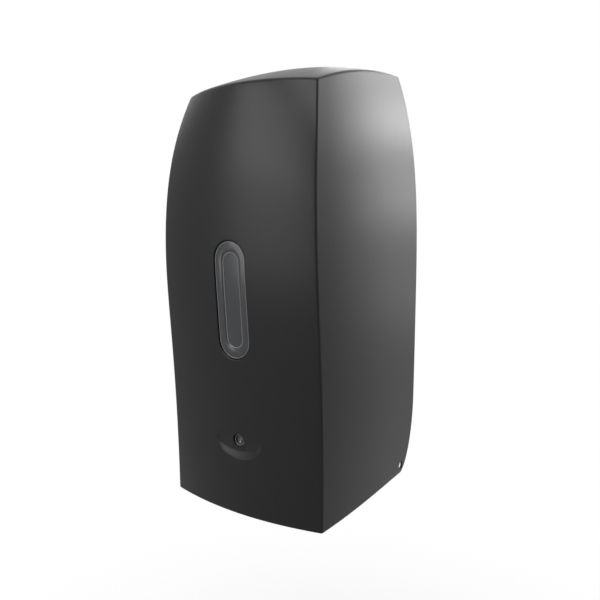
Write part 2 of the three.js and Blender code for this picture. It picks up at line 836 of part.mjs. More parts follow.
// A rounded rectangle at one height, drawn in by inset.
function tankSection(z, inset, corner) {
  const half = tank.halfWidth - inset;
  const [front, back] = [-tank.front + inset, -tank.back - inset];
  const r = Math.max(1, corner - inset);
  const centres = [
    [half - r, back - r, 0], [-half + r, back - r, 90],
    [-half + r, front + r, 180], [half - r, front + r, 270],
  ];
  return centres.flatMap(([x, y, start]) =>
    steps(start, start + 90, 3).map((degrees) => {
      const a = THREE.MathUtils.degToRad(degrees);
      return new THREE.Vector3(x + r * Math.cos(a), y + r * Math.sin(a), z);
    }),
  );
}

// The tank's form drawn in by inset: rounded foot, straight walls, a shoulder that curves in.
function tankForm(inset) {
  const lower = tankBottom + inset;
  const upper = tankTop - inset;
  const s = tank.shoulder;
  const round = (share) => s * (1 - Math.sqrt(1 - share * share));
  const sections = [
    [lower, inset + 3], [lower + 3, inset],
    [upper - s, inset], ...[0.5, 0.85].map((share) => [upper - s + s * share, inset + round(share)]),
    [upper, inset + s * 0.85],
  ];
  return loft(sections.map(([z, draw]) => tankSection(z, draw, tank.corner)));
}

function makeTank() {
  const neckOuter = tank.mouthRadius + tank.neckWall;
  const spout = [0, flowSetback];
  const footX = tank.halfWidth - tank.footInset;
  const feet = [-footX, footX].flatMap((x) =>
    [-tank.back - tank.footInset, -tank.front + tank.footInset].map((y) =>
      rod('z', tank.footRadius, chassis.shelfTop + fit, tankBottom + tank.wall / 2, [x, y], 10),
    ),
  );
  return cut(
    join(
      tankForm(0),
      rod('z', neckOuter, tankTop - tank.wall, neckTop, mouthCentre, 24),
      rod('z', tank.spoutRadius, spoutBottom, tankBottom + tank.wall / 2, spout, 16),
      ...feet,
    ),
    tankForm(tank.wall),
    rod('z', tank.mouthRadius, tankTop - 2 * tank.wall, neckTop + 1, mouthCentre, 24),
    rod('z', tank.spoutBore, spoutBottom - 1, tankBottom + 2 * tank.wall, spout, 14),
  );
}

const neckTop = tankTop + tank.neckHeight;
const lidUnder = neckTop + fit + lid.sealThickness + fit;

function makeTankLid() {
  const inner = tank.mouthRadius + tank.neckWall + 0.4;
  const outer = inner + 1.6;
  const top = lidUnder + lid.thickness;
  const cap = turned(
    'z',
    [
      [0, lidUnder], [inner, lidUnder], [inner, top - lid.skirt], [outer, top - lid.skirt],
      [outer, top - 0.8], [outer - 0.8, top], [0, top],
    ],
    mouthCentre,
    22,
  );
  const [gx, gy] = [lid.gripWidth / 2, tank.mouthRadius * 0.7];
  const y = mouthCentre[1];
  return join(
    cap,
    box(-gx, -gx + 2, y - gy, y + gy, top - 0.5, top + lid.gripHeight),
    box(gx - 2, gx, y - gy, y + gy, top - 0.5, top + lid.gripHeight),
  );
}

const makeTankLidSeal = () =>
  ring(
    'z', tank.mouthRadius, tank.mouthRadius + tank.neckWall, neckTop + fit, lidUnder - fit, mouthCentre, 18,
  );

// ---------------------------------------------------------------- liquid path

const cupTop = chassis.shelfTop + fit + socket.flangeThickness;
const cupBottom = spoutBottom - fit;
const nippleBottom = cupBottom - socket.wall - socket.nippleLength;

const makeTankSocket = () =>
  turned(
    'z',
    [
      [pump.stubBore, nippleBottom], [pump.stubRadius, nippleBottom],
      [pump.stubRadius, cupBottom - socket.wall], [socketOuter, cupBottom - socket.wall],
      [socketOuter, chassis.shelfTop + fit], [socketOuter + socket.flange, chassis.shelfTop + fit],
      [socketOuter + socket.flange, cupTop], [tank.spoutRadius + 1.6, cupTop],
      [tank.spoutRadius + 1.6, cupTop - 2.4], [tank.spoutRadius + fit, cupTop - 2.4],
      [tank.spoutRadius + fit, cupBottom], [pump.stubBore, cupBottom], [pump.stubBore, nippleBottom],
    ],
    [0, flowSetback],
    16,
  );

const makeSocketSeal = () =>
  ring(
    'z', tank.spoutRadius + 0.25, tank.spoutRadius + 1.35, cupTop - 2.15, cupTop - 0.4,
    [0, flowSetback], 16,
  );

const tubeBore = pump.stubRadius + fit;
const tubeRing = (from, to) => ring('z', tubeBore, tubeBore + tube.wall, from, to, [0, flowSetback], 16);

const stubTop = pump.axisHeight + pumpOuter + pump.stubLength;
const stubBottom = pump.axisHeight - pumpOuter - pump.stubLength;
const makeInletTube = () => tubeRing(stubTop - tube.inletGrip, nippleBottom + tube.inletGrip);
const makeOutletTube = () => tubeRing(nozzle.nippleTop - tube.outletGrip, stubBottom + tube.outletGrip);

function makeNozzle() {
  const { bodyRadius, flangeRadius, flangeThickness, tipHeight, boreRadius, nippleTop } = nozzle;
  const seat = floorTop + fit;
  return turned(
    'z',
    [
      [boreRadius, nippleTop], [boreRadius, tipHeight + 4], [bodyRadius - 1.6, tipHeight + 3.2],
      [bodyRadius - 1.6, tipHeight], [bodyRadius - 0.6, tipHeight], [bodyRadius, tipHeight + 0.6],
      [bodyRadius, seat], [flangeRadius, seat], [flangeRadius, seat + flangeThickness],
      [bodyRadius, seat + flangeThickness], [pump.stubRadius, seat + flangeThickness + 2],
      [pump.stubRadius, nippleTop], [boreRadius, nippleTop],
    ],
    [0, flowSetback],
    16,
  );
}

// A slit rubber valve inside the nozzle's mouth.
function makeNozzleValve() {
  const { bodyRadius, tipHeight } = nozzle;
  const r = bodyRadius - 1.6 - fit;
  const top = tipHeight + 3;
  const cone = turned(
    'z',
    [
      [0, top], [r, top], [r, top - 0.9], [r - 1.6, top - 1.2],
      [0.7, tipHeight + 0.2], [0, tipHeight + 0.2],
    ],
    [0, flowSetback],
    14,
  );
  return cut(cone, box(-0.15, 0.15, flowSetback - 3, flowSetback + 3, tipHeight - 1, tipHeight + 1));
}

// ---------------------------------------------------------------- gears

const involute = (angle) => Math.tan(angle) - angle;

// An involute gear about the drawing's origin, with one tooth centred on angle phase.
function gearShape({ module, teeth, pressureAngle, addendum, dedendum, bore, phase = 0 }) {
  const pressure = THREE.MathUtils.degToRad(pressureAngle);
  const radius = pitch(module, teeth);
  const base = radius * Math.cos(pressure);
  const tip = radius + addendum * module;
  const root = radius - dedendum * module;
  const halfTooth = (Math.PI * module) / 2 - train.backlash / 2;
  const halfAngle = (r) => {
    const roll = r > base ? involute(Math.acos(base / r)) : 0;
    return halfTooth / (2 * radius) + involute(pressure) - roll;
  };
  const start = Math.max(root, base);
  const flank = root < base ? [root, base, (start + tip) / 2, tip] : [root, tip];
  const points = [];
  for (let i = 0; i < teeth; i++) {
    const middle = phase + (i * 2 * Math.PI) / teeth;
    const at = (r, side) => new THREE.Vector2(
      r * Math.cos(middle + side * halfAngle(r)), r * Math.sin(middle + side * halfAngle(r)));
    points.push(...flank.map((r) => at(r, -1)), ...flank.toReversed().map((r) => at(r, 1)));
  }
  const shape = new THREE.Shape(points);
  if (bore) shape.holes.push(new THREE.Path().absarc(0, 0, bore, 0, 2 * Math.PI, true));
  return shape;
}

const trainTooth = {
  pressureAngle: train.pressureAngle, addendum: train.addendum, dedendum: train.addendum + 0.3,
};
const pumpTooth = {
  module: pump.module, teeth: pump.teeth, pressureAngle: pump.pressureAngle,
  addendum: pump.addendum, dedendum: pump.addendum + 0.25,
};
const direction = ([x0, z0], [x1, z1]) => Math.atan2(z1 - z0, x1 - x0);
const towardsCompound = direction(finalAxis, compoundAxis);
const towardsMotor = direction(compoundAxis, motorAxis);
const meshed = (towards, teeth) => towards + Math.PI + Math.PI / teeth;

// Places of the gears along the gearbox, front to back, inside its front wall.
const { finalFace, largeFace } = train;
const finalFront = gearbox.front + train.wall + 1.2;
const largeFront = finalFront + finalFace + 1.5;

function makeFinalGear() {
  const gear = prism('y', gearShape({
    ...trainTooth, module: train.module2, teeth: train.finalTeeth,
    bore: pump.shaftRadius + fit / 2, phase: towardsCompound,
  }), 0, finalFace);
  const hub = ring('y', pump.shaftRadius + fit / 2, pump.shaftRadius + 3, 0, finalFace + 3, [0, 0], 16);
  const rimRadius = pitch(train.module2, train.finalTeeth) - 4;
  const web = ring('y', pump.shaftRadius + 3.5, rimRadius, finalFace * 0.6, finalFace + 1, [0, 0], 24);
  return join(cut(gear, web), hub);
}

function makeCompoundGear() {
  const bore = train.axleRadius + fit / 2;
  const large = prism('y', gearShape({
    ...trainTooth, module: train.module1, teeth: train.compoundTeeth, bore, phase: towardsMotor,
  }), largeFront - finalFront, largeFront - finalFront + largeFace);
  const small = prism('y', gearShape({
    ...trainTooth, module: train.module2, teeth: train.compoundPinionTeeth, bore,
    phase: meshed(towardsCompound, train.compoundPinionTeeth),
  }), -0.5, largeFront - finalFront + 0.5);
  return join(large, small);
}

const makeMotorPinion = () =>
  prism('y', gearShape({
    ...trainTooth, module: train.module1, teeth: train.pinionTeeth,
    bore: train.motorShaftRadius + fit / 2, phase: meshed(towardsMotor, train.pinionTeeth),
  }), -0.5, largeFace + 0.5);

const pumpGearLength = pump.chamberDepth - 2 * fit;
const pumpGear = (shaftRadius, phase) =>
  prism('y', gearShape({ ...pumpTooth, bore: shaftRadius + fit / 2, phase }), 0, pumpGearLength);
const makePumpDriveGear = () => pumpGear(pump.shaftRadius, Math.PI);
const makePumpIdlerGear = () => pumpGear(pump.idlerPinRadius, Math.PI / pump.teeth);

// ---------------------------------------------------------------- pump, gearbox and motor

// The pump's figure-of-eight outline about its two axes.
const pumpOutline = (radius, from, to) =>
  prism('y', slotShape(2 * (pumpPitch + radius), 2 * radius, 0, pump.axisHeight), from, to, 6);

function makePumpHousing() {
  const { chamberFront, chamberBack, back } = pumpLayers;
  const gearRoom = pumpPitch + pump.addendum * pump.module + pump.tipClearance;
  const stub = (from, to) => rod('z', pump.stubRadius, from, to, [0, flowSetback], 16);
  const port = (from, to) => rod('z', pump.stubBore, from, to, [0, flowSetback], 16);
  return cut(
    join(
      pumpOutline(pumpOuter, chamberFront, back),
      stub(pump.axisHeight + pumpOuter - 1, stubTop),
      stub(stubBottom, pump.axisHeight - pumpOuter + 1),
    ),
    ...Object.values(pumpAxes).map((axis) => rod('y', gearRoom, chamberFront - 1, chamberBack, axis, 22)),
    port(pump.axisHeight + 2, stubTop + 1),
    port(stubBottom - 1, pump.axisHeight - 2),
    rod('y', pump.shaftRadius + fit / 2, chamberFront, back + 1, pumpAxes.drive, 20),
    rod('y', pump.idlerPinRadius + fit / 2, chamberFront, back - 0.8, pumpAxes.idler, 20),
  );
}

function makePumpCover() {
  const { coverFront, chamberFront } = pumpLayers;
  const inner = chamberFront - fit;
  const plate = pumpOutline(pumpOuter, coverFront, inner);
  const pocket = (radius, axis) => rod('y', radius + fit / 2, coverFront + 0.8, inner + 1, axis, 14);
  const panel = cut(
    pumpOutline(pumpOuter - 2.5, coverFront - 1, coverFront + 0.7),
    ...Object.values(pumpAxes).map((axis) => rod('y', 4.5, coverFront - 2, coverFront + 2, axis, 10)),
  );
  return cut(
    plate,
    panel,
    pocket(pump.shaftRadius, pumpAxes.drive),
    pocket(pump.idlerPinRadius, pumpAxes.idler),
  );
}

// The gearbox's outline: a circle round each gear, joined by straight walls.
function gearcase(grow, from, to) {
  const finalRadius = pitch(train.module2, train.finalTeeth + 2) + train.tipGap + grow;
  const compoundRadius = pitch(train.module1, train.compoundTeeth + 2) + train.tipGap + grow;
  const pinionRadius = pitch(train.module1, train.pinionTeeth + 2) + train.tipGap + grow;
  return join(
    rod('y', finalRadius, from, to, finalAxis, 24),
    rod('y', compoundRadius, from, to, compoundAxis, 22),
    rod('y', pinionRadius, from, to, motorAxis, 12),
    prism('y', polygon([finalAxis, compoundAxis, motorAxis]), from, to),
  );
}

function makeGearboxHousing() {
  const [front, back] = [gearbox.front, gearbox.back - train.wall - fit];
  const footHalf = 5;
  const feet = [-footHalf * 3, footHalf * 2.4].map((x) =>
    box(x - footHalf, x + footHalf, back - 6, back - 1, floorTop + fit, pump.axisHeight - 8),
  );
  const boss = ring('y', 0, train.axleRadius + 2, front + 0.5, finalFront - 0.8, compoundAxis, 20);
  return cut(
    join(
      cut(join(gearcase(train.wall, front, back), ...feet), gearcase(0, front + train.wall, back + 1)),
      boss,
    ),
    rod('y', pump.shaftRadius + fit, front - 1, back, pumpAxes.drive, 20),
    rod('y', train.axleRadius + fit / 2, front + 1, back, compoundAxis, 16),
  );
}

function makeGearboxPlate() {
  const [front, back] = [gearbox.back - train.wall, gearbox.back];
  return cut(
    join(
      gearcase(train.wall, front, back),
      rod('y', pump.shaftRadius + 2, back - 0.5, back + 3, finalAxis, 20),
    ),
    rod('y', motor.bossRadius + fit, front - 1, back + 1, motorAxis, 20),
    rod('y', pump.shaftRadius + fit, front - 1, back + 2, finalAxis, 20),
    rod('y', train.axleRadius + fit / 2, front - 1, back - 0.5, compoundAxis, 16),
  );
}

const pumpShaftEnds = [pumpLayers.coverFront + 1.1, gearbox.back + 1.7];
const compoundAxleEnds = [gearbox.front + 1.3, gearbox.back - 0.8];
const motorFront = gearbox.back + fit;

function makeMotor() {
  const { radius: r, length, bossRadius, bossLength, endCap } = motor;
  const can = turned(
    'y',
    [
      [train.motorShaftRadius + fit, -bossLength], [bossRadius, -bossLength], [bossRadius, 0], [r - 1, 0],
      [r, 1], [r, length - endCap], [r - 1, length - endCap], [r - 1, length], [3, length],
      [3, length + 1.5], [0, length + 1.5], [0, length - 6], [train.motorShaftRadius + fit, length - 6],
      [train.motorShaftRadius + fit, -bossLength],
    ],
    [0, 0],
    18,
  );
  const lug = (x) => box(x - 0.4, x + 0.4, length - 1, length + 3.5, -9, -6.5);
  return join(can, lug(-3), lug(3));
}

const motorShaftEnds = [largeFront - 1.5, motorFront + motor.length - 6 - fit];

// ---------------------------------------------------------------- batteries

const cellPitch = 2 * cell.radius + cell.gap;
const bay = { x0: gearboxRight + battery.sideGap };
bay.width = 2 * (cell.radius + fit) + 2 * fit + 2 * battery.wall;
bay.x1 = bay.x0 + bay.width;
bay.middle = (bay.x0 + bay.x1) / 2;
const contactGap = battery.contact + 2 * fit;
const drawerInside = cell.height + 2 * contactGap;
const drawerHeight = drawerInside + 2 * battery.railThickness;
const drawerBottom = battery.bottom + battery.wall + fit;
const drawerTop = drawerBottom + drawerHeight;
const drawerLength = cell.count * cellPitch + 2 * battery.railThickness;
const drawerBack = -battery.back - battery.wall - fit;
const drawerFront = drawerBack - drawerLength;
const housingFront = drawerFront + battery.railThickness;
const cellY = (i) => drawerBack - battery.railThickness - cellPitch * (i + 0.5);
const cellBottom = drawerBottom + battery.railThickness + contactGap;

const housingTop = drawerTop + fit + battery.wall;
const bayRoom = () => {
  const gap = battery.chassisGap;
  return box(
    bay.x0 - gap, bay.x1 + gap, housingFront - gap, -battery.back + gap, battery.bottom - gap,
    housingTop + gap,
  );
};

function makeBatteryHousing() {
  const sleeve = cut(
    box(bay.x0, bay.x1, housingFront, -battery.back, battery.bottom, housingTop),
    box(
      bay.x0 + battery.wall, bay.x1 - battery.wall, housingFront - 1, -battery.back - battery.wall,
      battery.bottom + battery.wall, housingTop - battery.wall,
    ),
  );
  const foot = (y) =>
    box(bay.x0 + 2, bay.x0 + 12, y - 3, y + 3, floorTop + fit, battery.bottom + 0.5);
  const backTab = (z) =>
    box(bay.middle - 5, bay.middle + 5, -battery.back - 0.5, -chassis.plate - fit, z, z + 4);
  const slot = (z) =>
    box(bay.x1 - battery.wall - 1, bay.x1 + 1, housingFront + 8, -battery.back - 10, z, z + 6);
  return cut(
    join(
      sleeve, foot(housingFront + 8), foot(-battery.back - 8), backTab(housingTop - 8),
      backTab(cover.heelHeight),
    ),
    slot(housingTop - 18),
    slot(battery.bottom + 12),
  );
}

function makeBatteryDrawer() {
  const half = cell.radius + fit;
  const [x0, x1] = [bay.middle - half, bay.middle + half];
  const t = battery.railThickness;
  const frame = cut(
    box(x0, x1, drawerFront, drawerBack, drawerBottom, drawerTop),
    box(x0 - 1, x1 + 1, drawerFront + t, drawerBack - t, drawerBottom + t, drawerTop - t),
  );
  const saddles = [drawerBottom + t - 0.2, drawerTop - t - battery.saddle - contactGap].map((z) =>
    box(bay.middle - half + 0.4, bay.middle + half - 0.4, drawerFront + 0.5, drawerBack - 0.5, z,
      z + battery.saddle + contactGap + 0.2),
  );
  const wells = steps(0, cell.count - 1, cell.count - 1).map((i) =>
    rod('z', cell.radius + fit, drawerBottom + t, drawerTop - t, [bay.middle, cellY(i)], 14),
  );
  const contactRoom = box(
    bay.middle - cell.radius * 0.6, bay.middle + cell.radius * 0.6, drawerFront + t, drawerBack - t,
    drawerBottom + t, drawerTop - t,
  );
  const face = box(
    bay.x0 + 0.5, bay.x1 - 0.5, drawerFront - battery.frontThickness, drawerFront + 0.5,
    drawerBottom - 0.5, drawerTop + 0.5,
  );
  const pullHeight = (drawerBottom + drawerTop) / 2;
  const pull = box(
    bay.middle - half * 0.7, bay.middle + half * 0.7,
    drawerFront - battery.frontThickness - battery.handleDepth, drawerFront, pullHeight - 1, pullHeight + 1,
  );
  return join(frame, ...saddles.map((saddle) => cut(saddle, ...wells, contactRoom)), face, pull);
}

function makeCell() {
  const { radius: r, height, nubRadius, nubHeight } = cell;
  const shoulder = height - nubHeight;
  return turned(
    'z',
    [
      [0, 0], [r - 0.5, 0], [r, 0.5], [r, shoulder - 0.8], [r - 0.8, shoulder],
      [nubRadius, shoulder], [nubRadius, height], [0, height],
    ],
    [0, 0],
    16,
  );
}

// A pressed strip with a raised pad under or over each cell.
function makeContactStrip(z) {
  const half = cell.radius * 0.5;
  const from = drawerBack - battery.railThickness - 2;
  const to = drawerFront + battery.railThickness + 2;
  return cut(
    box(bay.middle - half, bay.middle + half, to, from, z, z + battery.contact),
    ...steps(1, cell.count - 1, cell.count - 2).map((i) => {
      const y = cellY(i) + cellPitch / 2;
      return box(bay.middle - half - 1, bay.middle - 1, y - 1, y + 1, z - 1, z + 2);
    }),
  );
}

// ---------------------------------------------------------------- boards and sensing

function makeBoardCarrier() {
  const { carrierFront: front, carrierHalfWidth: half, carrierTop: top } = boards;
  const bottom = floorTop + fit;
  const legs = [-1, 1].map((side) =>
    box(
      Math.min(side * half, side * (half - plastic)), Math.max(side * half, side * (half - plastic)),
      -front, -front + boards.carrierLeg, bottom, top,
    ),
  );
  const plate = cut(
    box(-half, half, -front, -front + plastic, bottom, top),
    prism('y', slotShape(half, top * 0.42, 0, pump.axisHeight + 4), -front - 1, -front + plastic + 1),
  );
  return join(plate, ...legs, ...standoffPlaces().map((place) =>
    rod('y', boards.standoffRadius, -front - boards.standoff, -front + 1, place, 8)));
}

function standoffPlaces() {
  const x = boards.controlHalfWidth - boards.standoffRadius - 1;
  const inset = boards.standoffRadius + 1;
  return [-x, x].flatMap((side) =>
    [boards.controlBottom + inset, boards.controlTop - inset].map((z) => [side, z]));
}

const controlBack = -boards.carrierFront - boards.standoff - fit;
const controlFront = controlBack - boards.thickness;

function makeControlBoard() {
  const { controlHalfWidth: half, controlBottom, controlTop } = boards;
  return cut(
    box(-half, half, controlFront, controlBack, controlBottom, controlTop),
    ...standoffPlaces().map((place) => rod('y', 1.3, controlFront - 1, controlBack + 1, place, 8)),
  );
}

function makeIndicatorLed() {
  const r = boards.ledRadius;
  const back = controlFront - fit;
  const tip = back - boards.ledLength;
  return turned(
    'y',
    [
      [0, tip], [r * 0.5, tip + 0.35], [r * 0.87, tip + 1.25], [r, tip + r], [r, back - 1],
      [r + 0.4, back - 1], [r + 0.4, back], [0, back],
    ],
    indicatorAxis,
    16,
  );
}

function makeSwitchBody() {
  const { x, height, width, depth, rise, travel, knob } = powerSwitch;
  const back = controlFront - fit;
  const slot = (travel + knob) / 2 + fit;
  return cut(
    box(x - width / 2, x + width / 2, back - depth, back, height - rise / 2, height + rise / 2),
    box(x - slot, x + slot, back - depth - 1, back - depth + 2.5, height - 1.2 - fit, height + 1.2 + fit),
  );
}

function makeSwitchSlider() {
  const { x, height, depth, travel, knob } = powerSwitch;
  const back = controlFront - fit - depth + 2.5 - fit;
  const x0 = x - (travel + knob) / 2;
  return box(x0, x0 + knob, back - 4.5, back, height - 1.2, height + 1.2);
}

function makeSensorBoard() {
  const { setback, boardHeight, boardHalfWidth: half } = sensor;
  return cut(
    box(-half, half, -setback - 6, -setback + 6, boardHeight, boardHeight + boards.thickness),
    box(-half + 2, -half + 6, -setback - 7, -setback - 4, boardHeight - 1, boardHeight + 3),
  );
}

// One infrared lamp or receiver, dome down, hanging from the sensor board.
function makeSensorLamp() {
  const r = boards.ledRadius;
  const { lampLength: length } = sensor;
  return turned(
    'z',
    [
      [0, -length], [r * 0.6, -length + 0.5], [r, -length + r], [r, -0.9],
      [r + 0.4, -0.9], [r + 0.4, 0], [0, 0],
    ],
    [0, 0],
    12,
  );
}

function makeSensorWindow() {
  const { windowLength, windowDepth, windowFlange, setback } = sensor;
  const seat = floorTop + fit;
  return join(
    prism('z', slotShape(windowLength, windowDepth, 0, -setback), chassis.floorBottom + 0.5, seat + 0.2),
    prism(
      'z',
      slotShape(windowLength + 2 * windowFlange, windowDepth + 2 * windowFlange, 0, -setback),
      seat,
      seat + 1,
    ),
  );
}

// ---------------------------------------------------------------- materials

const finish = (color, roughness, metalness = 0, extra = {}) =>
  new THREE.MeshStandardMaterial({ color, roughness, metalness, ...extra });
const looks = {
  cover: () => finish(0x35363a, 0.42),
  smoked: () => finish(0x3c3e42, 0.2, 0, { transparent: true, opacity: 0.55 }),
  clear: () => finish(0xc9d4da, 0.15, 0, { transparent: true, opacity: 0.5 }),
  chassis: () => finish(0x8d9093, 0.6),
  tank: () => finish(0xdfe5e6, 0.35, 0, { transparent: true, opacity: 0.55 }),
  white: () => finish(0xe8e8e4, 0.5),
  gear: () => finish(0xeeeadf, 0.45),
  rubber: () => finish(0x2b2b2c, 0.8),
  silicone: () => finish(0xd8dcda, 0.5, 0, { transparent: true, opacity: 0.7 }),
  steel: () => finish(0xb9bcc0, 0.25, 1),
  board: () => finish(0x1d5a3a, 0.5),
  cellJacket: () => finish(0x3a4652, 0.35, 0.3),
  darkPlastic: () => finish(0x1e1f22, 0.45),
};

// ---------------------------------------------------------------- assembly

const dispenser = new THREE.Group();
dispenser.position.z = -mounting.height;

function group(x = 0, y = 0, z = 0, parent = dispenser) {
  const made = new THREE.Group();
  made.position.set(x, y, z);
  parent.add(made);
  return made;
}

function addPiece(parent, name, solid, look) {
  const mesh = new THREE.Mesh(geometryFrom(solid), look());
  mesh.name = name;
  parent.add(mesh);
  return mesh;
}

const coverGroup = group();
addPiece(coverGroup, 'cover', makeCover(), looks.cover);
addPiece(coverGroup, 'sight_window', makeSightWindow(), looks.smoked);
addPiece(coverGroup, 'indicator_lens', makeIndicatorLens(), looks.clear);
addPiece(coverGroup, 'lock_body', makeLockBody(), looks.steel);
addPiece(coverGroup, 'lock_barrel', makeLockBarrel(), looks.steel);
addPiece(coverGroup, 'lock_cam', makeLockCam(), looks.steel);

const chassisGroup = group();
addPiece(chassisGroup, 'chassis', makeChassis(), looks.chassis);
for (const [name, side] of [['hinge_pin_left', -1], ['hinge_pin_right', 1]]) {
  const pin = addPiece(chassisGroup, name, makeHingePin(), looks.steel);
  pin.position.set(side * hingePinInner, -hinge.setback, hinge.height);
  if (side < 0) pin.rotation.z = Math.PI;
}

const tankGroup = group();
addPiece(tankGroup, 'tank', makeTank(), looks.tank);
addPiece(tankGroup, 'tank_lid', makeTankLid(), looks.white);
addPiece(tankGroup, 'tank_lid_seal', makeTankLidSeal(), looks.rubber);

const liquidGroup = group();
addPiece(liquidGroup, 'tank_socket', makeTankSocket(), looks.white);
addPiece(liquidGroup, 'socket_seal', makeSocketSeal(), looks.rubber);
addPiece(liquidGroup, 'inlet_tube', makeInletTube(), looks.silicone);
addPiece(liquidGroup, 'outlet_tube', makeOutletTube(), looks.silicone);
addPiece(liquidGroup, 'nozzle', makeNozzle(), looks.white);
addPiece(liquidGroup, 'nozzle_valve', makeNozzleValve(), looks.silicone);

const driveGroup = group();
addPiece(driveGroup, 'pump_housing', makePumpHousing(), looks.white);
addPiece(driveGroup, 'pump_cover', makePumpCover(), looks.white);
addPiece(driveGroup, 'gearbox_housing', makeGearboxHousing(), looks.darkPlastic);
addPiece(driveGroup, 'gearbox_plate', makeGearboxPlate(), looks.darkPlastic);
const at = ([x, z], y) => group(x, y, z, driveGroup);
const pumpGearFront = pumpLayers.chamberFront + fit;
addPiece(at(pumpAxes.drive, pumpGearFront), 'pump_drive_gear', makePumpDriveGear(), looks.gear);
addPiece(at(pumpAxes.idler, pumpGearFront), 'pump_idler_gear', makePumpIdlerGear(), looks.gear);
const shaft = (name, radius, [from, to], axis) =>
  addPiece(driveGroup, name, rod('y', radius, from, to, axis, 18), looks.steel);
shaft('pump_shaft', pump.shaftRadius, pumpShaftEnds, finalAxis);
shaft('idler_pin', pump.idlerPinRadius, [pumpShaftEnds[0], pumpLayers.back - 1.1], pumpAxes.idler);
addPiece(at(finalAxis, finalFront), 'final_gear', makeFinalGear(), looks.gear);
addPiece(at(compoundAxis, finalFront), 'compound_gear', makeCompoundGear(), looks.gear);
shaft('compound_axle', train.axleRadius, compoundAxleEnds, compoundAxis);
addPiece(at(motorAxis, largeFront), 'motor_pinion', makeMotorPinion(), looks.gear);
shaft('motor_shaft', train.motorShaftRadius, motorShaftEnds, motorAxis);
addPiece(at(motorAxis, motorFront), 'motor', makeMotor(), looks.steel);

const powerGroup = group();
addPiece(powerGroup, 'battery_housing', makeBatteryHousing(), looks.darkPlastic);
addPiece(powerGroup, 'battery_drawer', makeBatteryDrawer(), looks.darkPlastic);
addPiece(powerGroup, 'contact_strip_lower',
  makeContactStrip(drawerBottom + battery.railThickness + fit), looks.steel);
addPiece(powerGroup, 'contact_strip_upper',
  makeContactStrip(cellBottom + cell.height + fit), looks.steel);
for (let i = 0; i < cell.count; i++) {
  const turnedOver = i % 2 === 1;
  const one = addPiece(powerGroup, `cell_${i + 1}`, makeCell(), looks.cellJacket);
  one.position.set(bay.middle, cellY(i), cellBottom + (turnedOver ? cell.height : 0));
  if (turnedOver) one.rotation.x = Math.PI;
}

const boardGroup = group();
addPiece(boardGroup, 'board_carrier', makeBoardCarrier(), looks.darkPlastic);
addPiece(boardGroup, 'control_board', makeControlBoard(), looks.board);
addPiece(boardGroup, 'indicator_led', makeIndicatorLed(), looks.clear);
addPiece(boardGroup, 'switch_body', makeSwitchBody(), looks.steel);
addPiece(boardGroup, 'switch_slider', makeSwitchSlider(), looks.darkPlastic);
addPiece(boardGroup, 'sensor_board', makeSensorBoard(), looks.board);
for (const [name, side] of [['ir_emitter', -1], ['ir_receiver', 1]]) {
  const lamp = addPiece(boardGroup, name, makeSensorLamp(), looks.smoked);
  lamp.position.set((side * sensor.spacing) / 2, -sensor.setback, sensor.boardHeight - fit);
}
addPiece(boardGroup, 'sensor_window', makeSensorWindow(), looks.smoked);

export default dispenser;
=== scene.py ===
"""The looks of a wall-mounted, touch-free soap dispenser, built around its packed model.

Laid out as an add-on: property groups hold the sizes and colours, one operator makes each piece or
group of like pieces, and main() calls them in order. X is the viewer's right, +Y goes into the wall
and Z is up. Lengths are millimetres, with heights counted from the dispenser's underside, and
mesh_object() moves them into the part's own frame, which is in metres.
"""

import json
import math

import bmesh
import bpy
import numpy as np
from bpy.props import FloatProperty, FloatVectorProperty, PointerProperty
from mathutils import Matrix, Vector


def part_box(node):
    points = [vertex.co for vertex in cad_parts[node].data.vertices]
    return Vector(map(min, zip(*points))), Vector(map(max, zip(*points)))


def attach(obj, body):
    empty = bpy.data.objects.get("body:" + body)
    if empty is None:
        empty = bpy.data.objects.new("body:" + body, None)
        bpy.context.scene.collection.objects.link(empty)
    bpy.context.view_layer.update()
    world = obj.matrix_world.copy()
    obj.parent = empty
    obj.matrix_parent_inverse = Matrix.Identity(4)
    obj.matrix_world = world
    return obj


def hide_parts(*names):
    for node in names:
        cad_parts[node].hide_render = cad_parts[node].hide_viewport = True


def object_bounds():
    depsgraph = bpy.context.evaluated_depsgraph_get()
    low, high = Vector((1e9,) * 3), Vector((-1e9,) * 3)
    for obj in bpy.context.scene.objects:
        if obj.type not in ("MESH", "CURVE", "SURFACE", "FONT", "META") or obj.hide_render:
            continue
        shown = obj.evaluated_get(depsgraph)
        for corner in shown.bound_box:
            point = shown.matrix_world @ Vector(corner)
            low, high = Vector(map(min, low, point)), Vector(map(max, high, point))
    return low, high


bl_info = {
    "name": "Wall soap dispenser",
    "version": (1, 0, 0),
    "blender": (4, 5, 0),
    "location": "3D View > Sidebar > Dispenser",
    "description": "Builds the looks of a wall-mounted soap dispenser around its packed model",
    "category": "Object",
}

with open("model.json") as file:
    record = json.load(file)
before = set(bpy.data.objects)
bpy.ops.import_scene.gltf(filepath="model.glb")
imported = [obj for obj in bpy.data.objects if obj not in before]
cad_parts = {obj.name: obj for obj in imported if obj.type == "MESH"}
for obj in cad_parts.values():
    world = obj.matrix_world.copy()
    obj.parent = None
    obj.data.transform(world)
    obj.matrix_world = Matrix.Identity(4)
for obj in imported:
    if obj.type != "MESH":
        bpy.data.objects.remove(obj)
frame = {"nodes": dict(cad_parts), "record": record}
CAD_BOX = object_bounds()
UNDERSIDE = CAD_BOX[0].z
MM = 0.001
ASIDE = 200  # mm, past both sides of the dispenser


# ------------------------------------------------------------------------------------ settings


def length(description, default):
    """A length in mm."""
    return FloatProperty(description=description, default=default, min=0)


def factor(description, default):
    """A plain share from 0 to 1."""
    return FloatProperty(description=description, default=default, subtype="FACTOR", min=0, max=1)


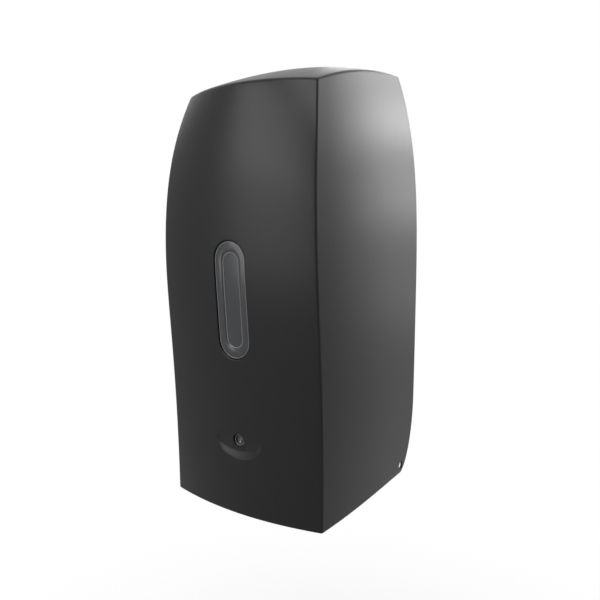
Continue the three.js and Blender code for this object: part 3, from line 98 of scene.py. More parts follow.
def colour(description, default):
    """A colour."""
    return FloatVectorProperty(
        description=description, default=default, subtype="COLOR", size=3, min=0, max=1
    )


def angle(description, degrees):
    """An angle."""
    return FloatProperty(description=description, default=math.radians(degrees), unit="ROTATION")


def watts(description, default):
    """A lamp's power in W."""
    return FloatProperty(description=description, default=default, min=0)


class CoverSizes(bpy.types.PropertyGroup):
    """Driving sizes of the barrel-shaped cover."""

    half_width: length("Middle to side at the widest height", 57.2)
    widest: length("Height where the cover is widest", 95)
    height: length("Underside to the top corner at the wall", 279.2)
    shoulder: length("How far each side draws in towards the top", 17.3)
    tuck: length("How far each side draws in at the bottom", 0.4)
    draft: length("Extra half width at the wall", 1.2)
    bulge: length("How far each side stands out, two thirds of the way to the front", 1.4)
    foot_depth: length("Wall to front corner at the bottom", 125)
    belly_depth: length("Wall to front corner at the belly", 132.1)
    belly: length("Height of the deepest point", 164)
    brow_depth: length("Wall to front corner under the top edge", 113.6)
    brow_drop: length("Brow's height, under the top corner at the wall", 17.2)
    brow_lean: factor("How steeply the front leans back at the brow", 0.453)
    crown: length("Rise of the top's middle over its side edges", 5.84)
    top_radius: length("Radius of the top, seen from the side", 367)
    top_setback: length("Centre of that radius, behind the wall", 12.5)
    sag: length("How far the front's middle stands out from its corners", 5)
    foot_sag: length("More of it at the bottom", 2.5)
    brow_sag: length("More of it at the top", 8)
    edge: length("Rounding of the long front edges", 1.3)
    top_edge: length("Rounding along the top's edge", 1.8)
    foot_edge: length("Rounding along the bottom edge", 1)
    wall: length("Thickness of the moulding", 2.5)
    wall_gap: length("Between the cover and the wall", 0.8)
    lip: length("Width of the turned-in bottom lip", 8)
    lip_end: length("Where the lip stops in front of the hinge, out from the wall", 30.3)
    lip_thickness: length("Thickness of the bottom lip", 2)
    heel_depth: length("Depth of the rear bottom corner's ellipse", 23)
    heel_height: length("Height of the rear bottom corner's ellipse", 54)


class WindowSizes(bpy.types.PropertyGroup):
    """Sizes of the sight window and the indicator under it."""

    bottom: length("Height of the slot's lower end", 97.6)
    top: length("Height of the slot's upper end", 167.8)
    width: length("Width of the slot", 22.5)
    rim: length("Rounding of the slot's rim", 0.6)
    recess: length("Lens face, under the cover's skin", 0.9)
    panel_width: length("Width of the sunk middle panel", 11.6)
    panel_end: length("How much wider the band is at its two ends", 1.1)
    panel_step: length("Depth of the sunk middle panel", 1.1)
    bead: length("Half width of the bead round the panel", 0.4)
    rib_depth: length("Depth of the stiffeners beside the window", 2.4)
    rib_width: length("Width of the stiffeners", 1.8)
    indicator: length("Height of the indicator's middle", 46.5)
    hole: length("Radius of the indicator's hole", 4)
    scoop_width: length("Half width of the scoop under the indicator", 17)
    scoop_drop: length("Indicator's middle to the scoop's lower edge", 12.3)
    scoop_band: length("Height of the scoop's lower slope at its middle", 6)
    scoop_rise: length("Indicator's middle to where the scoop's floor meets the skin", 8)
    scoop_depth: length("Depth at the foot of the lower slope", 1.7)


class Colours(bpy.types.PropertyGroup):
    """Colours of the mouldings."""

    cover: colour("Satin black of the cover", (0.0048, 0.0049, 0.0051))
    chassis: colour("Grey of the chassis", (0.2, 0.205, 0.21))
    smoked: colour("Tint of the sight window", (0.031, 0.032, 0.034))
    # Light grey of the beads: partly their frosting, partly a painted highlight along their bright
    # lines.
    frost: colour("Frosted beads of the sight window", (0.11, 0.112, 0.115))
    tank: colour("Natural colour of the tank", (0.78, 0.82, 0.82))
    white: colour("White mouldings of the pump", (0.76, 0.76, 0.74))
    gear: colour("Ivory of the gears", (0.8, 0.77, 0.68))
    dark: colour("Dark mouldings of the drive and battery bay", (0.03, 0.031, 0.034))
    board: colour("Solder resist of the boards", (0.02, 0.12, 0.055))
    jacket: colour("Jacket of the cells", (0.12, 0.2, 0.3))


class StudioSettings(bpy.types.PropertyGroup):
    """Camera and light."""

    lens: FloatProperty(description="Camera's focal length", default=36.53, unit="CAMERA")
    turn: angle("Camera's turn about Z", 33.66)
    drop: angle("Camera's tilt downwards", 7.45)
    key: watts("Power of the softbox in front", 9.2)
    low_key: watts("Power of the low softbox in front", 5.7)
    overhead: watts("Power of the softbox overhead", 10)
    high_rim: watts("Power of the high softbox behind, right", 4)
    rim: watts("Power of the softbox behind, right", 3)
    low_rim: watts("Power of the low softbox behind, right", 0.9)
    back: watts("Power of the softbox behind, left", 5)
    right: watts("Power of the softbox at the right", 4)
    left: watts("Power of the softbox at the left", 4)
    ambient: factor("Brightness of the room that lights the object", 0.05)


# ------------------------------------------------------------------------------------ mesh tools


def box(node):
    """A CAD node's low corner, high corner and middle."""
    low, high = ((corner - Vector((0, 0, UNDERSIDE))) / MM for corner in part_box(node))
    return low, high, (low + high) / 2


def grid_faces(rows, columns, closed_rows=False, closed_columns=True):
    """Quads of a rows by columns grid: point (r, c) is number r * columns + c."""
    r = np.arange(rows if closed_rows else rows - 1)[:, None]
    c = np.arange(columns if closed_columns else columns - 1)[None, :]
    r2, c2 = (r + 1) % rows, (c + 1) % columns
    corners = (r * columns + c, r * columns + c2, r2 * columns + c2, r2 * columns + c)
    return np.stack(np.broadcast_arrays(*corners), axis=-1).reshape(-1, 4)


def mesh_object(name, points, *face_sets):
    """A mesh object from points and arrays of faces, with its doubles merged and faces outward."""
    mesh = bpy.data.meshes.new(name)
    placed = points.reshape(-1, 3) * MM + (0, 0, UNDERSIDE)
    mesh.from_pydata(placed.tolist(), [], [f for s in face_sets for f in s.tolist()])
    shape = bmesh.new()
    shape.from_mesh(mesh)
    bmesh.ops.remove_doubles(shape, verts=shape.verts, dist=1e-7)
    bmesh.ops.recalc_face_normals(shape, faces=shape.faces)
    return linked_object(name, mesh, shape)


def linked_object(name, mesh, shape):
    """Puts an edited shape into a mesh, and the mesh into the scene."""
    shape.to_mesh(mesh)
    shape.free()
    made = bpy.data.objects.new(name, mesh)
    bpy.context.scene.collection.objects.link(made)
    return made


def closed_form(name, rings, laddered=False):
    """A closed solid skinned over rings (rings, columns, 3), with a fan over each end.

    A laddered end joins point i to point columns - 1 - i across the ring, instead of a fan.
    """
    rings = np.asarray(rings, float)
    count, columns = rings.shape[:2]
    last = (count - 1) * columns
    walls = grid_faces(count, columns)
    if laddered:
        i = np.arange(columns // 2 - 1)
        ladder = np.stack([i, i + 1, columns - 2 - i, columns - 1 - i], axis=-1)
        return mesh_object(name, rings, walls, ladder, ladder + last)
    ends = np.stack([rings[0].mean(axis=0), rings[-1].mean(axis=0)])
    ring = np.arange(columns)
    fans = [
        np.stack([ring + start, np.roll(ring, -1) + start, np.full(columns, centre)], axis=-1)
        for start, centre in ((0, count * columns), (last, count * columns + 1))
    ]
    return mesh_object(name, np.concatenate([rings.reshape(-1, 3), ends]), walls, *fans)


def turned_form(name, axis, soft, profile, centre, segments=72):
    """A profile of (radius, place along the axis), softened and turned about an axis.

    Point (i, j) = centre + radius_i (cos a_j, sin a_j) across the axis + place_i along it.
    """
    radius, place = np.array(softened(profile, soft) if soft else profile, float).T
    turn = np.arange(segments) * 2 * np.pi / segments
    along = "xyz".index(axis)
    a, b = (along + 1) % 3, (along + 2) % 3
    points = np.zeros((len(radius), segments, 3))
    points[..., along] = place[:, None]
    points[..., a] = radius[:, None] * np.cos(turn) + centre[a]
    points[..., b] = radius[:, None] * np.sin(turn) + centre[b]
    return mesh_object(name, points, grid_faces(len(radius), segments))


def block_form(name, low, high):
    """A box between two corners."""
    (x0, y0, z0), (x1, y1, z1) = low, high
    ring = [(x0, y0), (x1, y0), (x1, y1), (x0, y1)]
    return closed_form(name, [[(x, y, z) for x, y in ring] for z in (z0, z1)])


def slab(name, y0=-300, y1=100, z0=-20, z1=400):
    """A slab across the whole width, which reaches past the dispenser where no limit is given."""
    return block_form(name, (-ASIDE, y0, z0), (ASIDE, y1, z1))


def rounded_ring(half_a, half_b, radius, steps):
    """Points (a, b) of a rounded rectangle: a quarter circle round each corner's centre."""
    turn = np.linspace(0, np.pi / 2, steps) + np.arange(4)[:, None] * np.pi / 2
    side_a, side_b = np.array([1, -1, -1, 1])[:, None], np.array([1, 1, -1, -1])[:, None]
    a = side_a * (half_a - radius) + radius * np.cos(turn)
    b = side_b * (half_b - radius) + radius * np.sin(turn)
    return a.reshape(-1), b.reshape(-1)


def sunk_ring(outline, surface, under):
    """A ring of (x, z) points laid under a surface: y = surface(x, z) + under."""
    x, z = outline.T
    return np.column_stack([x, surface(x, z) + under, z])


def combine(target, tool, operation):
    """Cuts a closed tool from a closed target, or joins it on, and removes the tool."""
    boolean = target.modifiers.new("combine", "BOOLEAN")
    boolean.operation = operation
    boolean.solver = "MANIFOLD"
    boolean.object = tool
    bpy.context.view_layer.update()
    graph = bpy.context.evaluated_depsgraph_get()
    result = bpy.data.meshes.new_from_object(target.evaluated_get(graph))
    target.modifiers.clear()
    old, target.data = target.data, result
    bpy.data.meshes.remove(old)
    bpy.data.objects.remove(tool)
    if not result.polygons:
        raise RuntimeError(f"{target.name}: nothing is left after {operation}")


def cut(target, *tools):
    """Cuts each tool from the target in turn."""
    for tool in tools:
        combine(target, tool, "DIFFERENCE")
    return target


def join(target, *tools):
    """Joins each tool to the target in turn."""
    for tool in tools:
        combine(target, tool, "UNION")
    return target


def fillet(corner, before, after, steps=5):
    """Points that round a profile's corner: a quadratic curve from before to after."""
    t = np.linspace(0, 1, steps)[:, None]
    corner, before, after = (np.array(p, float) for p in (corner, before, after))
    curve = (1 - t) ** 2 * before + 2 * t * (1 - t) * corner + t**2 * after
    return [tuple(p) for p in curve]


def softened(points, radius):
    """A profile with every inner corner rounded by up to radius, limited by its shorter side.

    A profile that ends at its first point is closed, and that corner is rounded too.
    """
    closed = points[0] == points[-1]
    most = 0.45  # of a side's length, so that the roundings at its ends don't meet
    points = [np.array(p, float) for p in points]
    out = [] if closed else [tuple(points[0])]
    for i in range(0 if closed else 1, len(points) - 1):
        corner = points[i]
        back = points[i - 1 if i else -2] - corner
        ahead = points[i + 1] - corner
        reach = min(radius, np.linalg.norm(back) * most, np.linalg.norm(ahead) * most)
        before, after = (corner + way / np.linalg.norm(way) * reach for way in (back, ahead))
        out += fillet(corner, before, after, 4)
    return out + [out[0] if closed else tuple(points[-1])]


def tube(wall):
    """The profile of a plain ring or tube with a wall of this thickness, for turned_piece()."""
    return lambda r, a, b: [(r - wall, a), (r, a), (r, b), (r - wall, b), (r - wall, a)]


def moulded_copy(node, finish, bevel, *tools, sharp=32.0):
    """Stands a copy of a CAD node in for it, with tools cut from it and its edges softened.

    The copy's doubles are merged and its flat faces made whole.
    """
    shape = bmesh.new()
    shape.from_mesh(frame["nodes"][node].data)
    bmesh.ops.remove_doubles(shape, verts=shape.verts, dist=1e-6)
    bmesh.ops.dissolve_limit(
        shape, angle_limit=math.radians(1), verts=shape.verts, edges=shape.edges
    )
    copy = linked_object(node + "_form", bpy.data.meshes.new(node + "_form"), shape)
    dress(cut(copy, *tools), finish, node, sharp=sharp, bevel=bevel)


def turned_piece(node, axis, finish, soft, profile, segments=72):
    """Stands a turned piece in for a CAD node; profile(radius, start, end) gives its points.

    radius is half the node's size across the axis, and start and end are its ends along it.
    """
    low, high, middle = box(node)
    i = "xyz".index(axis)
    j = (i + 1) % 3
    points = profile((high[j] - low[j]) / 2, low[i], high[i])
    dress(turned_form(node + "_form", axis, soft, points, middle, segments), finish, node)


def dress(piece, finish, node=None, slot=None, body="chassis", sharp=35.0, bevel=0.0):
    """Shades a piece and softens its edges, puts it on its body, and lets it stand for a CAD node.

    A piece that stands for a node takes its body from the record; its slot there is only looked up,
    not given to it.
    """
    mesh = piece.data
    mesh.polygons.foreach_set("use_smooth", np.ones(len(mesh.polygons), bool))
    mesh.set_sharp_from_angle(angle=math.radians(sharp))
    mesh.materials.clear()
    mesh.materials.append(finish_of(finish))
    if bevel:
        soften = piece.modifiers.new("soften", "BEVEL")
        soften.width = bevel * MM
        soften.segments = 2
        soften.limit_method = "ANGLE"
        soften.angle_limit = math.radians(sharp)
        soften.use_clamp_overlap = True
        flatten = piece.modifiers.new("flatten", "WEIGHTED_NORMAL")
        flatten.weight = 100
        flatten.keep_sharp = True
    if node:
        bodies = frame["record"]["behaviour"]["bodies"]
        body = next(body for body, members in bodies.items() if node in members)
    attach(piece, body)
    if node:
        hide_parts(node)
    slot or slot_of(node)


def slot_of(node):
    """The record's material slot of a CAD node."""
    rows = frame["record"]["subparts"]
    return next(row["material_slot"] for row in rows if row["node"] == node)


# ------------------------------------------------------------------------------------ cover form


class CoverForm:
    """Formulas of the cover's outer form, which each take and give whole arrays."""

    def __init__(self, scene):
        """Takes the scene's settings, and lays out the corner line and the grid's columns."""
        self.sizes = scene.dispenser_cover
        self.window = scene.dispenser_window
        self.brow = self.sizes.height - self.sizes.brow_drop
        self.rear = 6  # the form is made past the wall, and cut back afterwards
        self.line_depth, self.line_height = self.corner_line()
        self.make_columns()

    def corner_line(self):
        """The front corner's line from the side: two cubic curves that meet at the belly."""
        s = self.sizes
        handle = (self.brow - s.belly) * 0.31
        # Each curve has its start, two handles that set how full it is, and its end.
        lower = [
            (s.foot_depth, 0), (s.foot_depth, s.belly * 0.55),
            (s.belly_depth, s.belly * 0.76), (s.belly_depth, s.belly),
        ]
        upper = [
            (s.belly_depth, s.belly), (s.belly_depth, s.belly + handle * 1.2),
            (s.brow_depth + s.brow_lean * handle, self.brow - handle), (s.brow_depth, self.brow),
        ]
        t = np.linspace(0, 1, 240)[:, None]
        weights = np.hstack([(1 - t) ** 3, 3 * t * (1 - t) ** 2, 3 * t**2 * (1 - t), t**3])
        return np.vstack([weights @ np.array(lower), (weights @ np.array(upper))[1:]]).T

    def make_columns(self):
        """Lays out the columns of the grid once round the form, right rear corner first.

        Each column's kind is 0 on a side, 1 on a corner, 2 on the front and 3 on the back. Its
        share runs from 0 to 1 along a side or corner, and from 1 to -1 across the front.
        """
        side = np.linspace(0, 1, 15)[:-1]
        corner = np.linspace(0, 1, 9)[:-1]
        dense = 0.36  # columns lie closer within this share of the middle, where the scoop is
        half_front = np.concatenate([np.linspace(1, dense, 17)[:-1], np.linspace(dense, 0, 33)])
        front = np.concatenate([half_front, -half_front[-2::-1]])
        back = np.linspace(-1, 1, 14)[1:-1]
        runs = [side, corner, front, corner[::-1], side[::-1], back]
        self.share = np.concatenate(runs)
        self.kind = np.repeat([0, 1, 2, 1, 0, 3], [len(run) for run in runs])
        self.hand = np.repeat([1.0, 1.0, 1.0, -1.0, -1.0, 1.0], [len(run) for run in runs])

    def half_width(self, z):
        """Half width: drawn in by a power law above the widest height and by a square below it."""
        s = self.sizes
        rise = np.maximum(0, (z - s.widest) / (s.height - s.widest))
        drop = np.maximum(0, 1 - z / s.widest)
        return s.half_width - s.shoulder * rise**3.9 - s.tuck * drop**2

    def bulge(self, t):
        """How far a side stands out at the share t of its depth: 27/4 t^2 (1 - t) of its most."""
        return self.sizes.bulge * 6.75 * t**2 * (1 - t)

    def front_depth(self, z):
        """Wall to front corner: the corner line, then straight on along the brow's lean."""
        s = self.sizes
        on_line = np.interp(z, self.line_height, self.line_depth)
        return np.where(z > self.brow, s.brow_depth - (z - self.brow) * s.brow_lean, on_line)

    def sag(self, z):
        """How far the front's middle stands out: even, with more at the foot and at the brow."""
        s = self.sizes
        foot = s.foot_sag * np.maximum(0, 1 - z / (s.belly * 0.55)) ** 2
        return s.sag + foot + s.brow_sag * np.maximum(0, z / self.brow) ** 5

    def front(self, x, z, inset=0):
        """Y of the front face: corner depth plus a parabola across the width."""
        half = self.half_width(z) - inset
        return -(self.front_depth(z) - inset + self.sag(z) * (1 - (x / half) ** 2))

    def top(self, x, y):
        """Height of the top: an arc front to back, plus a parabolic crown across the width."""
        s = self.sizes
        arc = np.sqrt(s.top_radius**2 - (y - s.top_setback) ** 2)
        edge = s.height + arc - math.sqrt(s.top_radius**2 - s.top_setback**2)
        widening = s.draft * np.maximum(0, 1 + y / s.foot_depth)
        return edge + s.crown * (1 - (x / (self.half_width(edge) + widening)) ** 2)

    def scoop(self, x, z):
        """Depth of the scoop: a floor that sinks by a square downwards, then a slope to the skin.

        The slope is a smooth step, 3 t^2 - 2 t^3. Across the width both follow a half ellipse, so
        that they fade out at the scoop's ends.
        """
        w = self.window
        tiny = 1e-6
        round_share = np.sqrt(np.maximum(0, 1 - (x / w.scoop_width) ** 2))
        down = w.indicator - z
        outer = w.scoop_drop * round_share + tiny
        inner = (w.scoop_drop - w.scoop_band) * round_share
        rise = w.scoop_rise * round_share + tiny
        floor = np.clip((down + rise) / (inner + rise), 0, 1) ** 2
        slope = np.clip((outer - down) / (outer - inner), 0, 1)
        return w.scoop_depth * round_share * np.minimum(floor, slope**2 * (3 - 2 * slope))

    def outline(self, z, inset=0):
        """Points of the upright walls at heights z (rows, columns), drawn in by inset.

        A side runs straight back with its draft and bulge added, a corner is a quadratic curve,
        and the front carries the scoop.
        """
        s = self.sizes
        half = self.half_width(z) - inset
        depth = self.front_depth(z) - inset
        soft = np.maximum(0.5, s.edge - inset)
        t = self.share
        start_y, end_x = -depth + soft, half - soft
        end_y = self.front(end_x, z, inset)
        start, bend, end = (1 - t) ** 2, 2 * t * (1 - t), t**2
        front_x = t * end_x
        dent = np.where(inset > 0, 0.0, self.scoop(front_x, z))
        across = [
            half + s.draft * (1 - t) + self.bulge(t), (start + bend) * half + end * end_x,
            front_x, t * (half + s.draft),
        ]
        along = [
            self.rear + t * (start_y - self.rear), start * start_y + bend * -depth + end * end_y,
            self.front(front_x, z, inset) + dent, np.full_like(z, self.rear),
        ]
        kinds = [self.kind == k for k in range(4)]
        return np.stack([np.select(kinds, across) * self.hand, np.select(kinds, along), z], axis=-1)

    def solid(self, name, inset=0, bottom=0):
        """The whole form as a closed solid: foot edge, walls, rounded top edge and domed top.

        Each column's rows end at its own place on the top's edge. The foot's rounding is a quarter
        circle. The top edge's is a quadratic curve from the wall through the edge to the dome, and
        the dome's rings shrink towards the middle.
        """
        s = self.sizes

        def on_top(flat):
            """Points (x, y) lifted onto the top."""
            height = self.top(flat[..., 0], flat[..., 1]) - inset
            return np.concatenate([flat, height[..., None]], axis=-1)

        # The walls lean, so the height where each column meets the top is found by repetition.
        z, rounds = np.full((1, len(self.kind)), self.brow), 30
        for _ in range(rounds):
            z = on_top(self.outline(z, inset)[..., :2])[..., 2]
        edge = self.outline(z, inset)
        soften = max(0.4, s.top_edge - inset)
        foot = 0 if inset else s.foot_edge
        a = np.linspace(0, np.pi / 2, 5)[:-1 if foot else 0, None]
        foot_rows = self.outline(
            bottom + foot * (1 - np.sin(a)) + 0 * z, inset + foot * (1 - np.cos(a))
        )
        low, high = 0.11, 0.225  # rows lie closer between these shares, where the scoop is
        v = np.concatenate([
            np.linspace(0, low, 9)[:-1], np.linspace(low, high, 60)[:-1], np.linspace(high, 1, 74),
        ])[:, None]
        start = bottom + foot
        walls = self.outline(start + (z - soften - start) * v, inset)
        middle = np.array([0, (self.rear - s.brow_depth) / 2])
        inwards = middle - edge[..., :2]
        reach = np.linalg.norm(inwards, axis=-1, keepdims=True)
        rim = edge[..., :2] + inwards / reach * soften
        t = np.linspace(0, 1, 7)[1:, None, None]
        rounding = (1 - t) ** 2 * walls[-1] + 2 * t * (1 - t) * edge + t**2 * on_top(rim)
        dome = on_top(middle + (rim - middle) * np.linspace(1, 0, 18)[1:-1, None, None])
        return closed_form(name, np.concatenate([foot_rows, walls, rounding, dome]))


def slot_outline(width, height, middle, grow, count=96):
    """An upright slot's outline grown by grow: a half circle at each end of two straight sides.

    It starts and ends at its top, so that point i and point count - 1 - i lie side by side.
    """
    radius = width / 2
    straight = height / 2 - radius
    radius += grow
    ends = count // 3
    half_turn = np.linspace(0, np.pi, ends)
    side = np.linspace(1, -1, (count - 2 * ends) // 2 + 2)[1:-1] * straight
    flat = np.full(len(side), radius)
    over, under = (
        np.column_stack([radius * np.cos(turn), radius * np.sin(turn) + centre])
        for turn, centre in ((half_turn, straight), (half_turn + np.pi, -straight))
    )
    left, right = np.column_stack([-flat, side]), np.column_stack([flat, -side])
    ring = np.vstack([over, left, under, right])
    return np.roll(ring, -(ends // 2), axis=0) + (0, middle)


def flared_cutter(name, outline, surface, rim):
    """A cutter with a rounded mouth: outline(grow) gives (x, z) rings, surface(x, z) the skin's y.

    Each ring is grown by rim (1 - cos a) and lies rim (1 - sin a) under the skin. The cutter
    starts deep under the skin and runs on outside it.
    """
    deep, outside = 12, -4
    a = np.linspace(0, np.pi / 2, 7)
    grow = [0, *rim * (1 - np.cos(a)), rim * 1.6]
    under = [deep, *rim * (1 - np.sin(a[:-1])), -0.01, outside]
    return closed_form(name, [sunk_ring(outline(g), surface, d) for g, d in zip(grow, under)])


# ------------------------------------------------------------------------------------ materials


def feed(tree, node, inputs):
    """Gives a node's inputs their values, or links them to the outputs that they follow.

    A colour is given as three numbers.
    """
    for key, value in inputs.items():
        socket = node.inputs[key]
        if isinstance(value, bpy.types.NodeSocket):
            tree.links.new(value, socket)
        else:
            socket.default_value = (*value, 1.0) if socket.type == "RGBA" else value


def step(tree, kind, inputs, output=0, **settings):
    """Adds a shader node, and gives one of its outputs."""
    node = tree.nodes.new("ShaderNode" + kind)
    for key, value in settings.items():
        setattr(node, key, value)
    feed(tree, node, inputs)
    return node.outputs[output]


def new_group(name, inputs, outputs):
    """A shader node group with its named float inputs and outputs."""
    group = bpy.data.node_groups.new(name, "ShaderNodeTree")
    for in_out, keys in (("INPUT", inputs), ("OUTPUT", outputs)):
        for key in keys:
            group.interface.new_socket(key, in_out=in_out, socket_type="NodeSocketFloat")
    return group, group.nodes.new("NodeGroupInput").outputs, group.nodes.new("NodeGroupOutput")


def noise(tree, place, scale, detail, roughness=0.5):
    """A noise texture on the given coordinates."""
    inputs = {"Vector": place, "Scale": scale, "Detail": detail, "Roughness": roughness}
    return step(tree, "TexNoise", inputs, "Fac")


def ranged(tree, value, low, high, start=0.0, end=1.0, **settings):
    """A value that runs from low to high while another runs from start to end."""
    return step(tree, "MapRange", {
        "Value": value, "From Min": start, "From Max": end, "To Min": low, "To Max": high,
    }, **settings)


def product(tree, a, b):
    """Two values multiplied."""
    return step(tree, "Math", {0: a, 1: b}, operation="MULTIPLY")


def moulded_grain(name):
    """Group: the fine spark-eroded texture of a moulding, with slow flow marks and rub marks."""
    group, given, out = new_group(name, ["Grain scale"], ["Height", "Flow", "Rub"])
    place = step(group, "TexCoord", {}, "Object")
    stretched = step(group, "Mapping", {"Vector": place, "Scale": (1, 1, 0.25)})
    feed(group, out, {
        "Height": noise(group, place, given["Grain scale"], 3, 0.6),
        "Flow": noise(group, place, 22, 4),
        "Rub": ranged(group, noise(group, stretched, 90, 6, 0.7), 0, 1, 0.55, 0.75),
    })
    return group


def settled_dust(name):
    """Group: a mask of light dust on faces that look up, broken up by noise."""
    group, given, out = new_group(name, ["Amount"], ["Dust"])
    split = step(group, "SeparateXYZ", {"Vector": step(group, "TexCoord", {}, "Normal")}, "Z")
    specks = noise(group, step(group, "TexCoord", {}, "Object"), 260, 6, 0.75)
    dust = product(group, ranged(group, split, 0, 1, 0.35), ranged(group, specks, 0, 1, 0.45, 0.8))
    feed(group, out, {"Dust": product(group, dust, given["Amount"])})
    return group


def place_group(tree, maker, key, value):
    """Places a group in a material, made once, and gives its outputs."""
    name = maker.__name__.replace("_", " ")
    node = tree.nodes.new("ShaderNodeGroup")
    node.node_tree = bpy.data.node_groups.get(name) or maker(name)
    feed(tree, node, {key: value})
    return node.outputs


def mixed_colour(tree, mask, low, high):
    """A colour that runs from low to high over a mask."""
    factor_socket, first_colour, second_colour, colour_output = 0, 6, 7, 2
    return step(tree, "Mix", {
        factor_socket: mask, first_colour: low, second_colour: high,
    }, colour_output, data_type="RGBA")


def bump(tree, height, strength, distance):
    """A normal bumped by a height, at most by a distance in mm."""
    inputs = {"Height": height, "Strength": strength, "Distance": distance * MM}
    return step(tree, "Bump", inputs)


def new_material(name):
    """A new material's node tree and its Principled BSDF."""
    material = bpy.data.materials.new(name)
    material.use_nodes = True
    return material.node_tree, material.node_tree.nodes["Principled BSDF"]


def moulded_plastic(
    name, base, roughness, grain=0.25, scale=2600.0, dust=0.2, spread=0.12, specular=0.5
):
    """A moulded plastic: flow marks in colour and gloss, fine grain, and dust on top."""
    tree, shader = new_material(name)
    texture = place_group(tree, moulded_grain, "Grain scale", scale)
    dusting = place_group(tree, settled_dust, "Amount", dust)["Dust"]
    base = np.array(base[:])
    flow = mixed_colour(tree, texture["Flow"], base * (1 - spread), base * (1 + spread))
    pale = 0.5 * base + 0.5 * np.array([0.45, 0.44, 0.42])
    feed(tree, shader, {
        "Base Color": mixed_colour(tree, dusting, flow, pale),
        "Roughness": ranged(tree, texture["Rub"], roughness, roughness * 0.88),
        "Normal": bump(tree, texture["Height"], grain, 0.05),
        "Specular IOR Level": specular,
    })


def clear_plastic(name, base, roughness, transmission, specular=0.5):
    """A see-through plastic with faint flow marks."""
    tree, shader = new_material(name)
    texture = place_group(tree, moulded_grain, "Grain scale", 900.0)
    base = np.array(base[:])
    feed(tree, shader, {
        "Base Color": mixed_colour(
            tree, texture["Flow"], base * 0.94, np.minimum(1, base * 1.06)
        ),
        "Roughness": ranged(tree, texture["Rub"], roughness, roughness * 1.3 + 0.01),
        "Normal": bump(tree, texture["Flow"], 0.15, 0.2),
        "Transmission Weight": transmission,
        "IOR": 1.49,
        "Specular IOR Level": specular,
    })


def worked_metal(name, base, roughness, stretch=(1, 1, 40), lines=600):
    """A metal with fine working lines across one direction."""
    tree, shader = new_material(name)
    place = step(tree, "TexCoord", {}, "Object")
    grain = noise(tree, step(tree, "Mapping", {"Vector": place, "Scale": stretch}), lines, 3, 0.6)
    base = np.array(base)
    feed(tree, shader, {
        "Base Color": mixed_colour(tree, grain, base * 0.85, np.minimum(1, base * 1.12)),
        "Roughness": ranged(tree, grain, roughness * 0.8, roughness * 1.25),
        "Normal": bump(tree, grain, 0.1, 0.02),
        "Metallic": 1.0,
    })


FINISHES = {
    "satin black": lambda n, c: moulded_plastic(n, c.cover, 0.34, dust=0.04, specular=0.165),
    "smoked plastic": lambda n, c: clear_plastic(n, c.smoked, 0.18, 0.25, specular=0.24),
    # The beads' light grey is their frosting and also a painted highlight.
    "frosted edge": lambda n, c: moulded_plastic(n, c.frost, 0.4, dust=0),
    "indicator clear": lambda n, c: clear_plastic(n, (0.05, 0.052, 0.055), 0.07, 0.3),
    "lamp clear": lambda n, c: clear_plastic(n, (0.6, 0.63, 0.66), 0.06, 0.7),
    "chassis grey": lambda n, c: moulded_plastic(n, c.chassis, 0.5),
    "tank natural": lambda n, c: clear_plastic(n, c.tank, 0.3, 0.7),
    "pump white": lambda n, c: moulded_plastic(n, c.white, 0.42, dust=0.1, spread=0.03),
    "gear ivory": lambda n, c: moulded_plastic(n, c.gear, 0.36, dust=0, spread=0.04),
    "dark moulding": lambda n, c: moulded_plastic(n, c.dark, 0.46),
    "seal rubber": lambda n, c: moulded_plastic(n, (0.02, 0.02, 0.021), 0.75, dust=0.3),
    "milky silicone": lambda n, c: clear_plastic(n, (0.75, 0.77, 0.76), 0.4, 0.45),
    "ground steel": lambda n, c: worked_metal(n, (0.6, 0.6, 0.61), 0.28),
    "plated steel": lambda n, c: worked_metal(n, (0.62, 0.62, 0.64), 0.22, (8, 8, 8), 300),
    "board resist": lambda n, c: moulded_plastic(n, c.board, 0.3, scale=1200.0, dust=0.1),
    "cell jacket": lambda n, c: moulded_plastic(n, c.jacket, 0.22, grain=0.05, dust=0.1),
}


def finish_of(name):
    """The material of that name, made once."""
    if name not in bpy.data.materials:
        FINISHES[name](name, bpy.context.scene.dispenser_colours)
    return bpy.data.materials[name]


# ------------------------------------------------------------------------------------ operators


